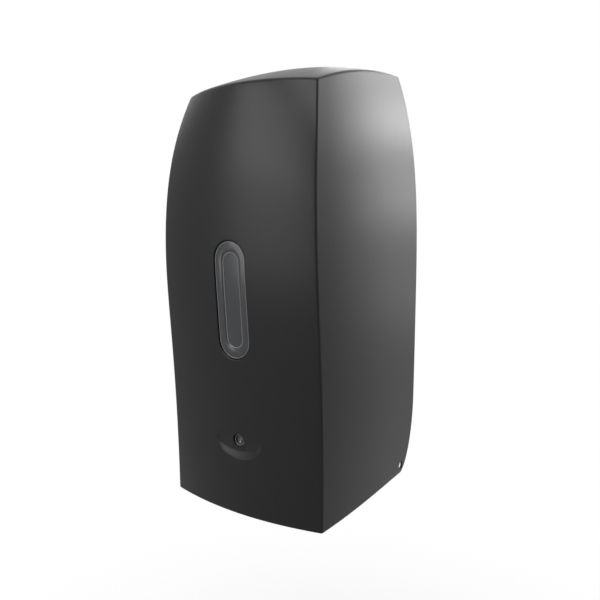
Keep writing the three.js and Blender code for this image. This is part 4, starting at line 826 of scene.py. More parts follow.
class DISPENSER_OT_cover(bpy.types.Operator):
    """Make the cover: a thin shell with its slot, scoop, pin holes and lock hole."""

    bl_idname = "dispenser.cover"
    bl_label = "Cover"

    def execute(self, context):
        """Hollows the form, opens its back and bottom, and cuts its holes."""
        form = CoverForm(context.scene)
        s, w = form.sizes, form.window
        shell = form.solid("cover_shell")
        hollow = cut(form.solid("hollow", s.wall, -3), slab("floor", z1=s.lip_thickness))
        opening = cut(form.solid("opening", s.wall + s.lip, -4), slab("over", z0=4))
        past_lip = cut(
            form.solid("past_lip", s.wall, -4), slab("higher", z0=4), slab("before", y1=-s.lip_end)
        )
        cut(shell, hollow, opening, past_lip)
        join(shell, self.rib(form, w, -1), self.rib(form, w, 1), self.boss(form, w))
        gap = 0.6  # the slot's width and height past the lens's
        slot = (w.width + gap, w.top - w.bottom + gap, (w.top + w.bottom) / 2)
        low, high, middle = box("lock_body")
        bore, mouth, past = 8.3, 8.9, high.z + 9
        cut(
            shell, slab("behind", y0=-s.wall_gap), self.heel(s), *self.pin_holes(),
            flared_cutter("slot", lambda grow: slot_outline(*slot, grow), form.front, w.rim),
            self.indicator_hole(form, w),
            turned_form("lock_hole", "z", 0, [
                (0, low.z), (bore, low.z), (bore, high.z - 0.1), (mouth, high.z + 0.5),
                (mouth, past), (0, past),
            ], middle),
        )
        dress(shell, "satin black", "cover")
        return {"FINISHED"}

    def rib(self, form, w, side):
        """A stiffener inside the front, beside the window, that runs out at both its ends.

        Its crest lies rib_depth (1 - |t|^6) inside the inner wall, where t goes from -1 to 1.
        """
        beside, overrun, overlap, taper = 6.2, 12, 0.4, 0.7
        t = np.linspace(-1, 1, 41)
        x = side * (w.width / 2 + beside)
        z = (w.top + w.bottom) / 2 + t * ((w.top - w.bottom) / 2 + overrun)
        inner = form.front(x, z) + form.sizes.wall
        root, crest = inner - overlap, inner + w.rib_depth * (1 - np.abs(t) ** 6)
        half = np.array([-1, 1, taper, -taper]) * w.rib_width / 2
        y = np.stack([root, root, crest, crest], axis=-1)
        return closed_form("rib", np.stack(np.broadcast_arrays(x + half, y, z[:, None]), axis=-1))

    def boss(self, form, w):
        """The tapered collar inside the front that holds the indicator."""
        skin = float(form.front(0.0, w.indicator))
        r, root, end = w.hole + 2, skin + 1, skin + 9
        return turned_form("boss", "y", 0, [
            (0, root), (r + 0.3, root), (r + 0.3, root + 2), (r, end - 0.4), (r - 0.4, end),
            (0, end),
        ], (0, 0, w.indicator), 48)

    def heel(self, s):
        """Everything behind and under a quarter ellipse round the rear bottom corner."""
        a = np.linspace(0, -np.pi / 2, 33)
        y0, z0, past = -s.wall_gap - s.heel_depth, s.heel_height, 8
        curve = np.column_stack([y0 + s.heel_depth * np.cos(a), z0 + z0 * np.sin(a)])
        ring = [*curve, (y0, -past), (past, -past), (past, z0)]
        return closed_form("heel", [[(x, y, z) for y, z in ring] for x in (-ASIDE, ASIDE)])

    def pin_holes(self):
        """The holes that the hinge pins show through."""
        for node, side in (("hinge_pin_left", -1), ("hinge_pin_right", 1)):
            low, high, middle = box(node)
            r = (high.z - low.z) / 2 + 0.3
            mouth = r + 0.3
            skin = max(abs(low.x), abs(high.x)) + 1
            start, past = skin - 8, skin + 2
            yield turned_form(node + "_hole", "x", 0, [
                (radius, side * x) for radius, x in (
                    (0, start), (r, start), (r, skin - 0.25), (mouth, skin + 0.05), (mouth, past),
                    (0, past),
                )
            ], middle)

    def indicator_hole(self, form, w):
        """The round hole for the indicator."""
        turn = np.linspace(0, 2 * np.pi, 65)[:-1]
        circle = np.column_stack([np.cos(turn), np.sin(turn)])
        return flared_cutter(
            "eye", lambda grow: circle * (w.hole + grow) + (0, w.indicator),
            lambda x, z: form.front(x, z) + form.scoop(x, z), 0.4,
        )


class DISPENSER_OT_window(bpy.types.Operator):
    """Make the sight window: a smoked lens with a sunk middle panel."""

    bl_idname = "dispenser.window"
    bl_label = "Sight window"

    points = 144  # round each ring
    edge = 0.6  # rounding of the lens's edge
    hump = 0.2  # rise of the band between the edge and the panel
    flange = 2.1  # reach of the flange past the slot
    thickness = 1.6  # of the flange

    def execute(self, context):
        """Rings from the middle of the lens's face, over its edge and flange, to its back."""
        form = CoverForm(context.scene)
        w = form.window
        middle, height = (w.top + w.bottom) / 2, w.top - w.bottom
        inner = (w.width - w.panel_width) / 2
        seat = form.sizes.wall + 0.3
        back = seat + self.thickness
        sunk = w.recess + w.panel_step
        centre = w.width / 2 - 0.3
        top_in = inner - w.panel_step * 0.5
        rounding = 0.4  # where the band turns down into the step
        band = np.linspace(top_in - rounding, self.edge, 7)[1:-1]
        hump = self.hump * (1 - ((band - inner / 2) / (inner / 2)) ** 2)
        # Each ring: how far in from the slot's edge, and how far under the cover's skin. From the
        # middle they are the panel, its sloping step, the humped band, the rounded edge and the
        # flange.
        profile = [
            (centre, sunk), (inner + 2.5, sunk), (inner + 0.2, sunk),
            *fillet(
                (top_in, w.recess), (top_in + 0.15, w.recess + 0.3), (top_in - rounding, w.recess)
            ),
            *zip(band, w.recess - hump),
            *((self.edge * (1 - math.sin(t)), w.recess + self.edge * (1 - math.cos(t)))
              for t in np.linspace(0, np.pi / 2, 6)),
            (0, seat), (-self.flange, seat), (-self.flange, back), (centre, back),
        ]
        rings = []
        for inwards, under in profile:
            shorter = 2 * w.panel_end * min(1, max(0, inwards / inner))
            ring = slot_outline(w.width, height - shorter, middle, -inwards, self.points)
            rings.append(sunk_ring(ring, form.front, under))
        lens = closed_form("sight_window_lens", rings, laddered=True)
        dress(lens, "smoked plastic", "sight_window", sharp=30)
        ends = height - 2 * w.panel_end
        # The two beads' light grey paints bright highlight lines round the panel and round the
        # lens.
        self.bead("panel_bead", form, w.bead, (w.width, ends, middle), -inner, sunk)
        self.bead(
            "lens_rim", form, w.bead * 0.6, (w.width, height, middle), -0.45, w.recess + 0.05
        )
        return {"FINISHED"}

    def bead(self, name, form, radius, slot, grow, under):
        """A round frosted bead, whose light grey is also a painted highlight: a circle carried
        round a slot's outline, just under the skin.
        """
        rings = [
            sunk_ring(
                slot_outline(*slot, grow + radius * math.cos(t), self.points), form.front,
                under - radius * math.sin(t),
            )
            for t in np.linspace(0, 2 * np.pi, 11)[:-1]
        ]
        piece = mesh_object(name, np.stack(rings), grid_faces(len(rings), self.points, True))
        # Its light grey paints a highlight along the bead, besides its frosting.
        dress(piece, "frosted edge", slot=slot_of("sight_window"), body="cover")


class DISPENSER_OT_indicator(bpy.types.Operator):
    """Make the indicator lens in the cover."""

    bl_idname = "dispenser.indicator"
    bl_label = "Indicator"

    def execute(self, context):
        """A core with rippled rings, sunk in its collar, with a light guide behind it."""
        core = 2.8
        ripple = [(core * k / 9, 1.5 + (0.32 if k % 2 else 0.0) + 0.03 * k) for k in range(9)]
        turned_piece("indicator_lens", "y", "indicator clear", 0.12, lambda r, a, b: [
            *[(x, a + y) for x, y in ripple], (core, a + 1.9), (core + 0.1, a + 0.7),
            (core + 0.3, a + 0.4), (r, a + 0.4), (r, a + 2.3), (core, a + 2.3), (core, b), (0, b),
        ])
        return {"FINISHED"}


class DISPENSER_OT_hinge_pins(bpy.types.Operator):
    """Make the two steel hinge pins."""

    bl_idname = "dispenser.hinge_pins"
    bl_label = "Hinge pins"

    def execute(self, context):
        """Two pins whose outer ends follow the bulge of the cover's sides."""
        for node, left, right in (("hinge_pin_left", 0.3, 0), ("hinge_pin_right", 0, 0.3)):
            turned_piece(node, "x", "ground steel", 0, lambda r, a, b: self.profile(
                r, a - left, b + right
            ))
        return {"FINISHED"}

    def profile(self, r, a, b):
        """A pin of radius r from a to b, with rounded ends and a shallow centre mark in each."""
        return [
            (0, a + 0.35), (0.5, a + 0.1), (0.62, a),
            *fillet((r, a), (r - 0.45, a), (r, a + 0.45)),
            *fillet((r, b), (r, b - 0.45), (r - 0.45, b)),
            (0.62, b), (0.5, b - 0.1), (0, b - 0.35),
        ]


class DISPENSER_OT_lock(bpy.types.Operator):
    """Make the cam lock: body, barrel with its keyway, and cam."""

    bl_idname = "dispenser.lock"
    bl_label = "Lock"

    def execute(self, context):
        """Turned body and barrel, and a softened cam."""
        bore, neck = 5.7, 8
        waist = neck - 0.35
        turned_piece("lock_body", "z", "plated steel", 0.25, lambda r, a, b: [
            (bore, a), (neck, a), (neck, a + 3), (waist, a + 3.5), (waist, a + 8),
            (neck, a + 8.5), (neck, b - 7.2), (r, b - 7.2), (r, b - 4.8), (neck, b - 4.8),
            (neck, b - 0.5), (neck - 0.9, b), (bore + 0.5, b), (bore, b - 0.5), (bore, a),
        ])
        low, high, middle = box("lock_barrel")
        r, a, b = (high.x - low.x) / 2, low.z, high.z
        barrel = turned_form("lock_barrel_form", "z", 0.3, [
            (0, a), (r, a), (r, b), (3.9, b), (3.7, b - 0.25), (0, b - 0.25),
        ], middle)
        for name, x, y, deep in (("keyway", 0.8, 3.5, 3), ("ward", 1.2, 1, 2)):
            cut(barrel, block_form(
                name, (middle.x - x, middle.y - y, b - deep), (middle.x + x, middle.y + y, b + 1)
            ))
        dress(barrel, "plated steel", "lock_barrel")
        moulded_copy("lock_cam", "plated steel", 0.3)
        return {"FINISHED"}


class DISPENSER_OT_tank(bpy.types.Operator):
    """Make the refillable tank, its lid and its seal."""

    bl_idname = "dispenser.tank"
    bl_label = "Tank"

    wall = 1.8
    corner = 13
    shoulder = 9
    shelf = 92.5  # height of the chassis's shelf
    height = 130  # shelf to shoulder
    feet = 3.2
    gap = 0.3  # between the feet and the shelf

    def execute(self, context):
        """Blown tank with a turned neck and spout, then the lid."""
        low, high, middle = box("tank")
        flow = box("tank_socket")[2]
        foot = self.shelf + self.gap
        base, top = foot + self.feet, self.shelf + self.height
        overlap = 2 * self.wall
        tank = self.bottle("tank_form", low, high, base, top, 0)
        r = 27
        neck = turned_form("neck", "z", 0.5, [
            (0, top - 2), (r, top - 2), (r, top + 1.2), (r + 0.6, top + 1.7),
            (r + 0.6, top + 2.3), (r, top + 2.8), (r, high.z), (0, high.z),
        ], middle, 120)
        spout = 7
        pipe = turned_form("pipe", "z", 0.8, [
            (0, low.z), (spout, low.z), (spout, base - 1.5), (9.5, base + 0.8), (0, base + 0.9),
        ], flow)
        feet = [
            turned_form("foot", "z", 0.6, [
                (0, foot), (4, foot), (4.6, base + 1), (0, base + 1),
            ], (x, y, 0), 32)
            for x in (low.x + 12, high.x - 12) for y in (low.y + 12, high.y - 12)
        ]
        # A scale on the front: every other mark is longer.
        margin, pitch, start, ends = 15, 12.5, low.x + 9, (low.x + 17, low.x + 23)
        marks = [
            block_form("mark", (start, low.y - 0.25, z - 0.4), (ends[k % 2], low.y + 1, z + 0.4))
            for k, z in enumerate(np.arange(base + margin, top - margin, pitch))
        ]
        inside = self.bottle("inside", low, high, base, top, self.wall)
        start, end, r = top - overlap, high.z + 1, 25
        bore = turned_form("bore", "z", 0, [
            (0, start), (r, start), (r, high.z - 0.5), (r + 0.5, end), (0, end),
        ], middle, 120)
        start, end, r = low.z - 1, base + overlap, 3.6
        outlet = turned_form("outlet", "z", 0, [
            (0, start), (r + 0.5, start), (r, low.z + 0.5), (r, end), (0, end),
        ], flow)
        cut(join(tank, neck, pipe, *feet, *marks), inside, bore, outlet)
        dress(tank, "tank natural", "tank", sharp=40)
        self.lid()
        return {"FINISHED"}

    def bottle(self, name, low, high, bottom, top, inset):
        """Rounded rectangles stacked up: a filleted foot, straight walls and an elliptic shoulder.

        A ring drawn in by d has its corners' centres fixed and their radius less d.
        """
        foot = 4
        middle = (low + high) / 2
        half = (high - low) / 2
        turn = np.linspace(0, np.pi / 2, 7)
        levels = [
            *((foot * (1 - math.sin(a)), bottom + inset + foot * (1 - math.cos(a))) for a in turn),
            *((self.shoulder * 0.85 * (1 - math.cos(a)),
               top - inset - self.shoulder * (1 - math.sin(a))) for a in turn),
        ]
        rings = []
        for drawn, z in levels:
            drawn += inset
            radius = max(1, self.corner - drawn)
            x, y = rounded_ring(half.x - drawn, half.y - drawn, radius, 13)
            rings.append(np.column_stack([x + middle.x, y + middle.y, np.full(len(x), z)]))
        return closed_form(name, rings)

    def lid(self):
        """A cap under two finger walls, with a grooved skirt: radius - 0.3 |cos(30 turn)|."""
        low, high, middle = box("tank_lid")
        r = (high.x - low.x) / 2
        under = box("tank_lid_seal")[1].z + 0.3
        top = under + 1.7
        inner = r - 1.6
        dish = top - 0.5
        profile = np.array(softened([
            (0, under), (inner, under), (inner, low.z), (r, low.z), (r, top), (r - 3, top),
            (r - 3.6, dish), (0, dish),
        ], 0.6))
        radius, z = profile[:, :1], profile[:, 1:]
        depth, waves, columns = 0.3, 30, 360
        turn = np.arange(columns) * 2 * np.pi / columns
        on_skirt = (radius > r - 0.7) & (z > low.z + 0.8)
        reach = radius - np.where(on_skirt, depth, 0) * np.abs(np.cos(waves * turn))
        points = np.stack(np.broadcast_arrays(
            middle.x + reach * np.cos(turn), middle.y + reach * np.sin(turn), z
        ), axis=-1)
        cap = mesh_object("tank_lid_form", points, grid_faces(len(profile), columns))
        join(cap, *(
            self.finger_wall(middle.x + side, middle.y, top - 1.2, high.z) for side in (-3, 3)
        ))
        dress(cap, "pump white", "tank_lid", sharp=40)
        turned_piece("tank_lid_seal", "z", "seal rubber", 0.4, tube(2))

    def finger_wall(self, x, y, bottom, top):
        """An upright wall across the lid, whose top edge is an arc that falls to its ends."""
        reach, fall, deep = 17.5, 2.4, -4
        a = np.linspace(0, np.pi, 9)
        x = x + np.array([1, *np.cos(a), -1])
        rise = np.array([deep, *(np.sin(a) - 1), deep])
        rings = []
        for t in np.linspace(-1, 1, 41):
            z = np.maximum(bottom, top - fall * t**4 + rise)
            rings.append(np.column_stack([x, np.full(len(x), y + reach * t), z]))
        return closed_form("finger_wall", rings)


class DISPENSER_OT_liquid_path(bpy.types.Operator):
    """Make the socket, seals, tubes and nozzle that carry the soap."""

    bl_idname = "dispenser.liquid_path"
    bl_label = "Liquid path"

    def execute(self, context):
        """Turned pieces on the line that the soap runs down."""
        bore, stub, wall = 2, 3.5, 1.8
        spout = 7.3
        cup = spout + wall
        turned_piece("tank_socket", "z", "pump white", 0.3, lambda r, a, b: [
            (bore, a), (stub - 0.5, a), (stub, a + 1), (stub - 0.3, a + 1.3), (stub - 0.3, a + 7),
            (cup, a + 7), (cup, b - 1.5), (r, b - 1.5), (r, b), (spout + 1.3, b),
            (spout + 1.3, b - 2.4), (spout, b - 2.4), (spout, a + 7 + wall), (bore, a + 7 + wall),
            (bore, a),
        ])
        turned_piece("socket_seal", "z", "seal rubber", 0.5, tube(1.1))
        for node in ("inlet_tube", "outlet_tube"):
            turned_piece(node, "z", "milky silicone", 0.3, tube(1.7))
            self.clips(node)
        skirt = 6
        turned_piece("nozzle", "z", "pump white", 0.3, lambda r, a, b: [
            (bore, b), (bore, a + 4), (4.4, a + 3.2), (4.4, a), (5.4, a), (skirt, a + 0.6),
            (skirt, a + 5.1), (r, a + 5.1), (r, a + 6.6), (skirt, a + 6.6), (stub, a + 8.6),
            (stub, b), (bore, b),
        ])
        low, high, middle = box("nozzle_valve")
        valve = turned_form("nozzle_valve_form", "z", 0.25, [
            (0, high.z), (4.1, high.z), (4.1, high.z - 0.9), (2.6, high.z - 1.2), (0.8, low.z),
            (0, low.z),
        ], box("nozzle")[2], 48)
        slit = block_form(
            "slit", (-0.12, middle.y - 3, low.z - 1), (0.12, middle.y + 3, low.z + 0.9)
        )
        dress(cut(valve, slit), "milky silicone", "nozzle_valve")
        return {"FINISHED"}

    def clips(self, node):
        """A round wire clip near each end of a tube: a circle carried round a circle."""
        low, high, middle = box(node)
        r, wire = (high.x - low.x) / 2, 0.45
        for name, z in (("_lower_clip", low.z + 3), ("_upper_clip", high.z - 3)):
            clip = turned_form(node + name, "z", 0, [
                (r + wire + wire * math.cos(t), z + wire * math.sin(t))
                for t in np.linspace(0, 2 * np.pi, 13)
            ], middle, 64)
            dress(clip, "ground steel", slot="steel")


class DISPENSER_OT_drive(bpy.types.Operator):
    """Make the pump, gearbox, gears, shafts and motor."""

    bl_idname = "dispenser.drive"
    bl_label = "Drive"

    def execute(self, context):
        """Mouldings with softened edges, gears with sunk webs, and turned shafts."""
        moulded_copy("pump_housing", "pump white", 0.4)
        moulded_copy("pump_cover", "pump white", 0.3)
        moulded_copy("gearbox_housing", "dark moulding", 0.4)
        moulded_copy("gearbox_plate", "dark moulding", 0.4)
        low_end, high_end = 0, 1
        self.gear("final_gear", 18.128, 6.16, low_end, 3.1)
        self.gear("compound_gear", 13.376, 8.096, high_end, 1)
        for node in ("pump_drive_gear", "pump_idler_gear", "motor_pinion"):
            moulded_copy(node, "gear ivory", 0.12, sharp=25)
        for node in ("pump_shaft", "idler_pin", "compound_axle", "motor_shaft"):
            turned_piece(
                node, "y", "ground steel", 0.3,
                lambda r, a, b: [(0, a), (r, a), (r, b), (0, b)], 48,
            )
        self.motor()
        self.screws()
        return {"FINISHED"}

    def gear(self, node, outer, inner, end, past):
        """A gear whose face at one end is sunk between its rim and its hub.

        The ring that is cut from it, from inner to outer radius, starts 1 mm in front of that end.
        """
        corners = box(node)
        a, b = corners[end].y - 1, corners[end].y + past
        web = turned_form("web", "y", 0, [
            (inner, a), (outer, a), (outer, b), (inner, b), (inner, a),
        ], corners[2])
        moulded_copy(node, "gear ivory", 0.12, web, sharp=25)

    def motor(self):
        """The motor's drawn can, with a rolled edge, under its moulded end cap."""
        low, high, middle = box("motor")
        r, start, front = (high.x - low.x) / 2, low.y, low.y + 1.6
        cap = high.y - 6.5
        can = turned_form("motor_can", "y", 0.5, [
            (1.4, start), (3, start), (3, front), (r - 3, front), (r - 2.6, front + 0.3),
            (r - 1.9, front + 0.3), (r - 1.5, front), (r, front), (r, cap - 2),
            (r - 0.35, cap - 1.7), (r - 0.35, cap - 1.2), (r, cap - 0.9), (r, cap), (1.4, cap),
            (1.4, start),
        ], middle)
        dress(can, "plated steel", "motor")
        end = turned_form("motor_end_cap", "y", 0.5, [
            (0, cap + 0.02), (r - 0.8, cap + 0.02), (r - 0.8, cap + 2.9), (3.4, cap + 2.9),
            (3, cap + 4.4), (0, cap + 4.4),
        ], middle)
        dress(end, "dark moulding", slot="dark_plastic")
        for name, side in (("motor_lug_left", -3), ("motor_lug_right", 3)):
            x = middle.x + side
            lug = block_form(name, (x - 0.4, cap + 2, low.z + 3), (x + 0.4, high.y, low.z + 5.5))
            dress(lug, "plated steel", slot="steel", bevel=0.15)

    def screws(self):
        """Pan-head screws round the pump's cover."""
        low, high, _ = box("pump_cover")
        reach = (high.z - low.z) / 2 - 1.9
        turns = [("pump_drive_gear", turn) for turn in (55, -55, 0)]
        turns += [("pump_idler_gear", turn) for turn in (125, 235, 180)]
        for number, (gear, turn) in enumerate(turns, 1):
            middle, turn = box(gear)[2], math.radians(turn)
            x, z = middle.x + reach * math.cos(turn), middle.z + reach * math.sin(turn)
            screw_head(f"pump_screw_{number}", (x, low.y, z), 1.5)


def screw_head(name, place, radius):
    """A pan-head screw that faces the front: a domed head with a cross cut into it.

    The head's edge is a quarter ellipse, radius wide at its foot and half the radius high.
    """
    x, y, z = place
    tall, sunk = radius / 2, y + 0.3
    head = turned_form(name, "y", 0, [
        (0, sunk), (radius, sunk),
        *((radius * (0.45 + 0.55 * math.cos(t)), y - tall * math.sin(t))
          for t in np.linspace(0, np.pi / 2, 7)),
        (0, y - tall),
    ], (x, 0, z), 32)
    arm, slot_half, foot = radius * 0.62, radius * 0.13, y - radius * 0.12
    for w, h in ((arm, slot_half), (slot_half, arm)):
        cut(head, block_form("cross", (x - w, y - radius, z - h), (x + w, foot, z + h)))
    dress(head, "plated steel", slot="steel", sharp=30)


class DISPENSER_OT_power(bpy.types.Operator):
    """Make the battery bay, its drawer, contacts and cells."""

    bl_idname = "dispenser.power"
    bl_label = "Power"

    def execute(self, context):
        """Mouldings with softened edges, and turned cells with a metal end at each side."""
        moulded_copy("battery_housing", "dark moulding", 0.35)
        moulded_copy("battery_drawer", "dark moulding", 0.3)
        moulded_copy("contact_strip_lower", "plated steel", 0.1)
        moulded_copy("contact_strip_upper", "plated steel", 0.1)
        for number in range(1, 5):
            self.cell(f"cell_{number}", nub_up=number % 2 == 1)
        return {"FINISHED"}

    def cell(self, node, nub_up):
        """A cell: a jacket between crimped ends, with a raised nub at its positive end."""
        low, high, middle = box(node)
        start, way = (low.z, 1) if nub_up else (high.z, -1)
        widest = 7.1
        across = (high.y - low.y) / 2 / widest
        profile = softened([
            (0, 0.25), (5.2, 0.25), (5.6, 0), (6.5, 0), (7.1, 0.6), (7.1, 48.1), (6.75, 48.4),
            (6.75, 48.8), (6.9, 49.1), (6.2, 49.3), (5.6, 49.1), (2.9, 49.15), (2.6, 49.3),
            (2.6, 50.3), (2.3, 50.5), (0, 50.5),
        ], 0.15)
        points = [(a * across, start + way * b) for a, b in profile]
        cell = turned_form(node + "_form", "z", 0, points, middle)
        dress(cell, "cell jacket", node)
        cell.data.materials.append(finish_of("plated steel"))
        centre = np.empty(len(cell.data.polygons) * 3)
        cell.data.polygons.foreach_get("center", centre)
        height = ((centre.reshape(-1, 3)[:, 2] - UNDERSIDE) / MM - start) * way
        jacket_start, jacket_end = 0.55, 48.2
        ends = (height < jacket_start) | (height > jacket_end)
        cell.data.polygons.foreach_set("material_index", ends.astype(np.int32))


class DISPENSER_OT_boards(bpy.types.Operator):
    """Make the board carrier, the boards, the switch and the sensor."""

    bl_idname = "dispenser.boards"
    bl_label = "Boards"

    def execute(self, context):
        """Mouldings, boards with their components, lamps and the sensor window."""
        for node, finish, bevel in (
            ("board_carrier", "dark moulding", 0.35), ("control_board", "board resist", 0.15),
            ("sensor_board", "board resist", 0.15), ("switch_body", "plated steel", 0.2),
            ("switch_slider", "dark moulding", 0.3), ("sensor_window", "smoked plastic", 0.35),
        ):
            moulded_copy(node, finish, bevel)
        self.lamp("indicator_led", "y", "lamp clear", 1)
        self.lamp("ir_emitter", "z", "smoked plastic", 0.9)
        self.lamp("ir_receiver", "z", "smoked plastic", 0.9)
        self.components()
        return {"FINISHED"}

    def lamp(self, node, axis, finish, foot):
        """A round-nosed lamp: a quarter circle, straight walls and a foot of this thickness."""
        nose = 2.5
        turn = np.linspace(0, np.pi / 2, 10)
        turned_piece(node, axis, finish, 0, lambda r, a, b: [
            *((nose * math.sin(t), a + nose * (1 - math.cos(t))) for t in turn),
            (nose, b - foot), (r, b - foot), (r, b - 0.1), (r - 0.1, b), (0, b),
        ])

    def components(self):
        """Chips, capacitors, resistors and a socket on the control board's front."""
        front = box("control_board")[0].y
        # Each row: middle's x and height, then width, height and depth.
        chips = [(9, 30, 9, 9, 1.6), (-14, 33, 6, 5, 1.4), (14, 55, 5, 4, 1.4)]
        across = [(-24 + 4 * i, 60 - 3.2 * j) for i in range(4) for j in range(3)]
        across += [(4 + 4 * i, 68) for i in range(6)]
        across = [(x, z, 2, 1.2, 0.6) for x, z in across]
        upright = [(22, 28 + 3 * j, 1.2, 2, 0.6) for j in range(6)]
        pitch = 1.27
        leads = [
            (x + side * out, z + pitch * j, long, 0.45, 0.35)
            for x, out, z, long, count in ((9, 5.2, 26.2, 1.6, 7), (-14, 3.6, 31, 1.3, 4))
            for side in (-1, 1) for j in range(count)
        ]
        leads += [(x + out, z, 0.5, 1.14, 0.65) for x, z, *_ in across for out in (-0.85, 0.85)]
        self.blocks("board_chips", "dark moulding", "dark_plastic", front, chips)
        self.blocks("board_resistors", "dark moulding", "dark_plastic", front, across + upright)
        self.blocks("board_leads", "plated steel", "steel", front, leads)
        self.blocks("board_socket", "pump white", "white_plastic", front, [(-20, 24, 12, 4.5, 5)])
        for number, (x, z, r, tall) in enumerate(((18, 40, 3.1, 7), (-6, 66, 2.5, 6)), 1):
            start, end, groove = front - 0.02, front - tall, r * 0.92
            can = turned_form(f"board_capacitor_{number}", "y", 0.25, [
                (0, start), (r, start), (r, front - 1), (groove, front - 1.3), (r, front - 1.6),
                (r, end), (0, end),
            ], (x, 0, z), 48)
            dress(can, "plated steel", slot="steel")
        corners = [(x, z) for z in (22.5, 74.5) for x in (-25.5, 25.5)]
        for number, (x, z) in enumerate(corners, 1):
            screw_head(f"board_screw_{number}", (x, front, z), 2.2)

    def blocks(self, name, finish, slot, front, rows):
        """Small blocks (x, height, width, tall, deep) on the board, each with its own 8 corners."""
        x, z, w, h, d = np.array(rows, float).T[..., None]
        unit = np.array([(i, j, k) for j in (0, 1) for k in (-0.5, 0.5) for i in (-0.5, 0.5)])
        points = np.stack([
            x + unit[:, 0] * w, front - 0.02 - unit[:, 1] * d, z + unit[:, 2] * h
        ], axis=-1)
        quads = np.array([
            (0, 1, 3, 2), (4, 6, 7, 5), (0, 4, 5, 1), (2, 3, 7, 6), (0, 2, 6, 4), (1, 5, 7, 3)
        ])
        faces = (quads + np.arange(len(x))[:, None, None] * 8).reshape(-1, 4)
        dress(mesh_object(name, points, faces), finish, slot=slot, bevel=0.12)


class DISPENSER_OT_chassis(bpy.types.Operator):
    """Make the chassis."""

    bl_idname = "dispenser.chassis"
    bl_label = "Chassis"

    def execute(self, context):
        """The moulding with softened edges and two shallow reliefs in its back."""
        low = self.relief("relief_low", 148, 40, 44)
        high = self.relief("relief_high", 232, 17, 22)
        moulded_copy("chassis", "chassis grey", 0.3, low, high)
        return {"FINISHED"}

    def relief(self, name, height, half_x, half_z):
        """A cutter for a relief in the back: a rounded rectangle that narrows as it goes in."""
        depth, radius = 0.6, 6
        rings = []
        for y, grow in ((-depth, -0.4), (-depth * 0.6, -0.1), (0, 0.1), (2, 0.2)):
            x, z = rounded_ring(half_x + grow, half_z + grow, radius + grow, 9)
            rings.append(np.column_stack([x, np.full(len(x), y), z + height]))
        return closed_form(name, rings)


def seen_rays(tree):
    """1 for what is seen directly, in a reflection or through something clear, and 0 for light."""
    mask = step(tree, "LightPath", {}, "Is Camera Ray")
    for name in ("Is Glossy Ray", "Is Transmission Ray"):
        ray = step(tree, "LightPath", {}, name)
        mask = step(tree, "Math", {0: mask, 1: ray}, operation="MAXIMUM")
    return mask


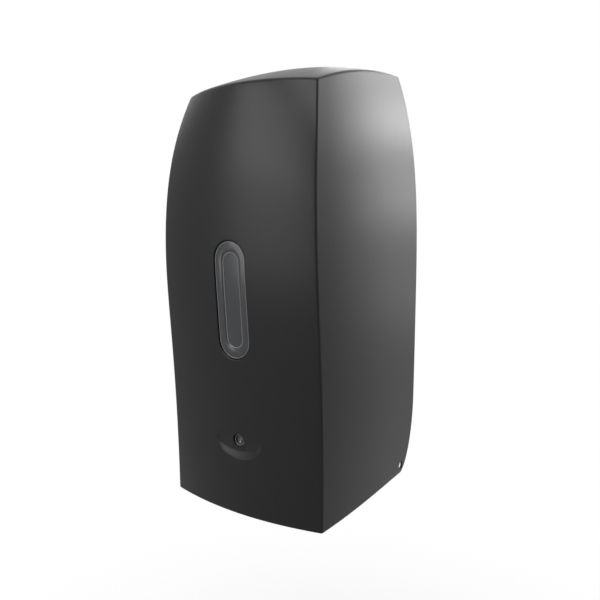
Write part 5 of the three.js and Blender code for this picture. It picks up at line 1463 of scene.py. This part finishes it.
class DISPENSER_OT_stage(bpy.types.Operator):
    """Make the floor, lamps, world and camera."""

    bl_idname = "dispenser.stage"
    bl_label = "Stage"

    def execute(self, context):
        """Sets the studio: each lamp has its size in m, and its turn and rise in degrees."""
        scene = context.scene
        studio = scene.dispenser_studio
        camera = bpy.data.objects.new("camera", bpy.data.cameras.new("camera"))
        scene.collection.objects.link(camera)
        camera.data.lens = studio.lens
        camera.data.sensor_width = 36.0
        camera.location = Vector((229.1, -407, 179.5)) * MM + Vector((0, 0, UNDERSIDE))
        camera.rotation_euler = (math.pi / 2 - studio.drop, 0, studio.turn)
        scene.camera = camera
        scene.view_settings.view_transform = "Standard"
        for name, size, turn, rise in (
            ("key", 0.7, -20, 30), ("high_rim", 0.5, 160, 28), ("rim", 0.5, 161, 14),
            ("low_rim", 0.5, 156, 0), ("back", 0.7, 195, 20), ("low_key", 0.7, -20, 5),
            ("overhead", 0.7, 20, 55), ("right", 0.5, 110, 12), ("left", 0.5, -110, 12),
        ):
            self.lamp(name + "_box", getattr(studio, name), size, turn, rise)
        self.floor()
        self.world(scene, studio.ambient)
        return {"FINISHED"}

    def lamp(self, name, power, size, turn, rise):
        """A square softbox that faces the dispenser, turned about Z from straight in front."""
        distance = 1.3
        turn, rise = math.radians(turn), math.radians(rise)
        place = Vector((
            math.sin(turn) * math.cos(rise), -math.cos(turn) * math.cos(rise), math.sin(rise)
        ))
        data = bpy.data.lights.new(name, "AREA")
        data.energy = power
        data.size = size
        lamp = bpy.data.objects.new(name, data)
        lamp.location = place * distance
        lamp.rotation_mode = "QUATERNION"
        lamp.rotation_quaternion = (-place).to_track_quat("-Z", "Y")
        bpy.context.scene.collection.objects.link(lamp)

    def floor(self):
        """A pale floor well under the dispenser, seen as white that keeps the dispenser's shadow.

        Of what is seen, the share that is white glow rises smoothly from a half within 0.2 m of the
        dispenser's axis to all of it beyond 0.6 m.
        """
        reach, count, drop = 4000, 9, 350
        x, y = np.meshgrid(*[np.linspace(-reach, reach, count)] * 2)
        points = np.stack([x, y, np.full_like(x, -drop)], axis=-1)
        floor = mesh_object("floor", points, grid_faces(count, count, closed_columns=False))
        tree, shader = new_material("pale floor")
        feed(tree, shader, {"Base Color": (0.8, 0.8, 0.8), "Roughness": 0.9})
        place = step(tree, "TexCoord", {}, "Object")
        level = step(tree, "VectorMath", {0: place, 1: (1, 1, 0)}, operation="MULTIPLY")
        away = step(tree, "VectorMath", {0: level}, "Value", operation="LENGTH")
        share = ranged(tree, away, 0.5, 1, 0.2, 0.6, interpolation_type="SMOOTHSTEP")
        glow = step(tree, "Emission", {"Color": (1, 1, 1), "Strength": 1})
        self.blend(tree, "Material Output", product(tree, share, seen_rays(tree)),
                   shader.outputs["BSDF"], glow)
        floor.data.materials.append(bpy.data.materials["pale floor"])

    def world(self, scene, ambient):
        """A white background that the camera sees, over a dim room that lights the object."""
        world = bpy.data.worlds.new("studio")
        world.use_nodes = True
        scene.world = world
        tree = world.node_tree
        room, white = (
            step(tree, "Background", {"Color": (1, 1, 1), "Strength": strength})
            for strength in (ambient, 1)
        )
        self.blend(tree, "World Output", seen_rays(tree), room, white)

    def blend(self, tree, output, share, first, second):
        """Shows a share of the second shader over the first."""
        mix = step(tree, "MixShader", {"Fac": share, 1: first, 2: second})
        tree.links.new(mix, tree.nodes[output].inputs["Surface"])


class DISPENSER_PT_panel(bpy.types.Panel):
    """Sidebar panel that lists the settings and the operators."""

    bl_label = "Soap dispenser"
    bl_idname = "DISPENSER_PT_panel"
    bl_space_type = "VIEW_3D"
    bl_region_type = "UI"
    bl_category = "Dispenser"

    def draw(self, context):
        """Lists every setting, then a button for each operator."""
        for name, group in SETTINGS.items():
            rows = self.layout.box()
            rows.label(text=group.__doc__)
            for key in group.__annotations__:
                label = key.replace("_", " ").capitalize()
                rows.prop(getattr(context.scene, name), key, text=label)
        for operator in OPERATORS:
            self.layout.operator(operator.bl_idname)


SETTINGS = {
    "dispenser_cover": CoverSizes,
    "dispenser_window": WindowSizes,
    "dispenser_colours": Colours,
    "dispenser_studio": StudioSettings,
}
OPERATORS = [
    DISPENSER_OT_stage, DISPENSER_OT_cover, DISPENSER_OT_window, DISPENSER_OT_indicator,
    DISPENSER_OT_hinge_pins, DISPENSER_OT_lock, DISPENSER_OT_tank, DISPENSER_OT_liquid_path,
    DISPENSER_OT_drive, DISPENSER_OT_power, DISPENSER_OT_boards, DISPENSER_OT_chassis,
]


def register():
    """Registers the settings, operators and panel."""
    for cls in (*SETTINGS.values(), *OPERATORS, DISPENSER_PT_panel):
        bpy.utils.register_class(cls)
    for name, group in SETTINGS.items():
        setattr(bpy.types.Scene, name, PointerProperty(type=group))


def unregister():
    """Undoes register()."""
    for name in SETTINGS:
        delattr(bpy.types.Scene, name)
    for cls in (DISPENSER_PT_panel, *reversed(OPERATORS), *SETTINGS.values()):
        bpy.utils.unregister_class(cls)


def main():
    """Registers everything, and makes every piece in order."""
    register()
    for operator in OPERATORS:
        group, name = operator.bl_idname.split(".")
        getattr(getattr(bpy.ops, group), name)()


if __name__ == "__main__":
    main()
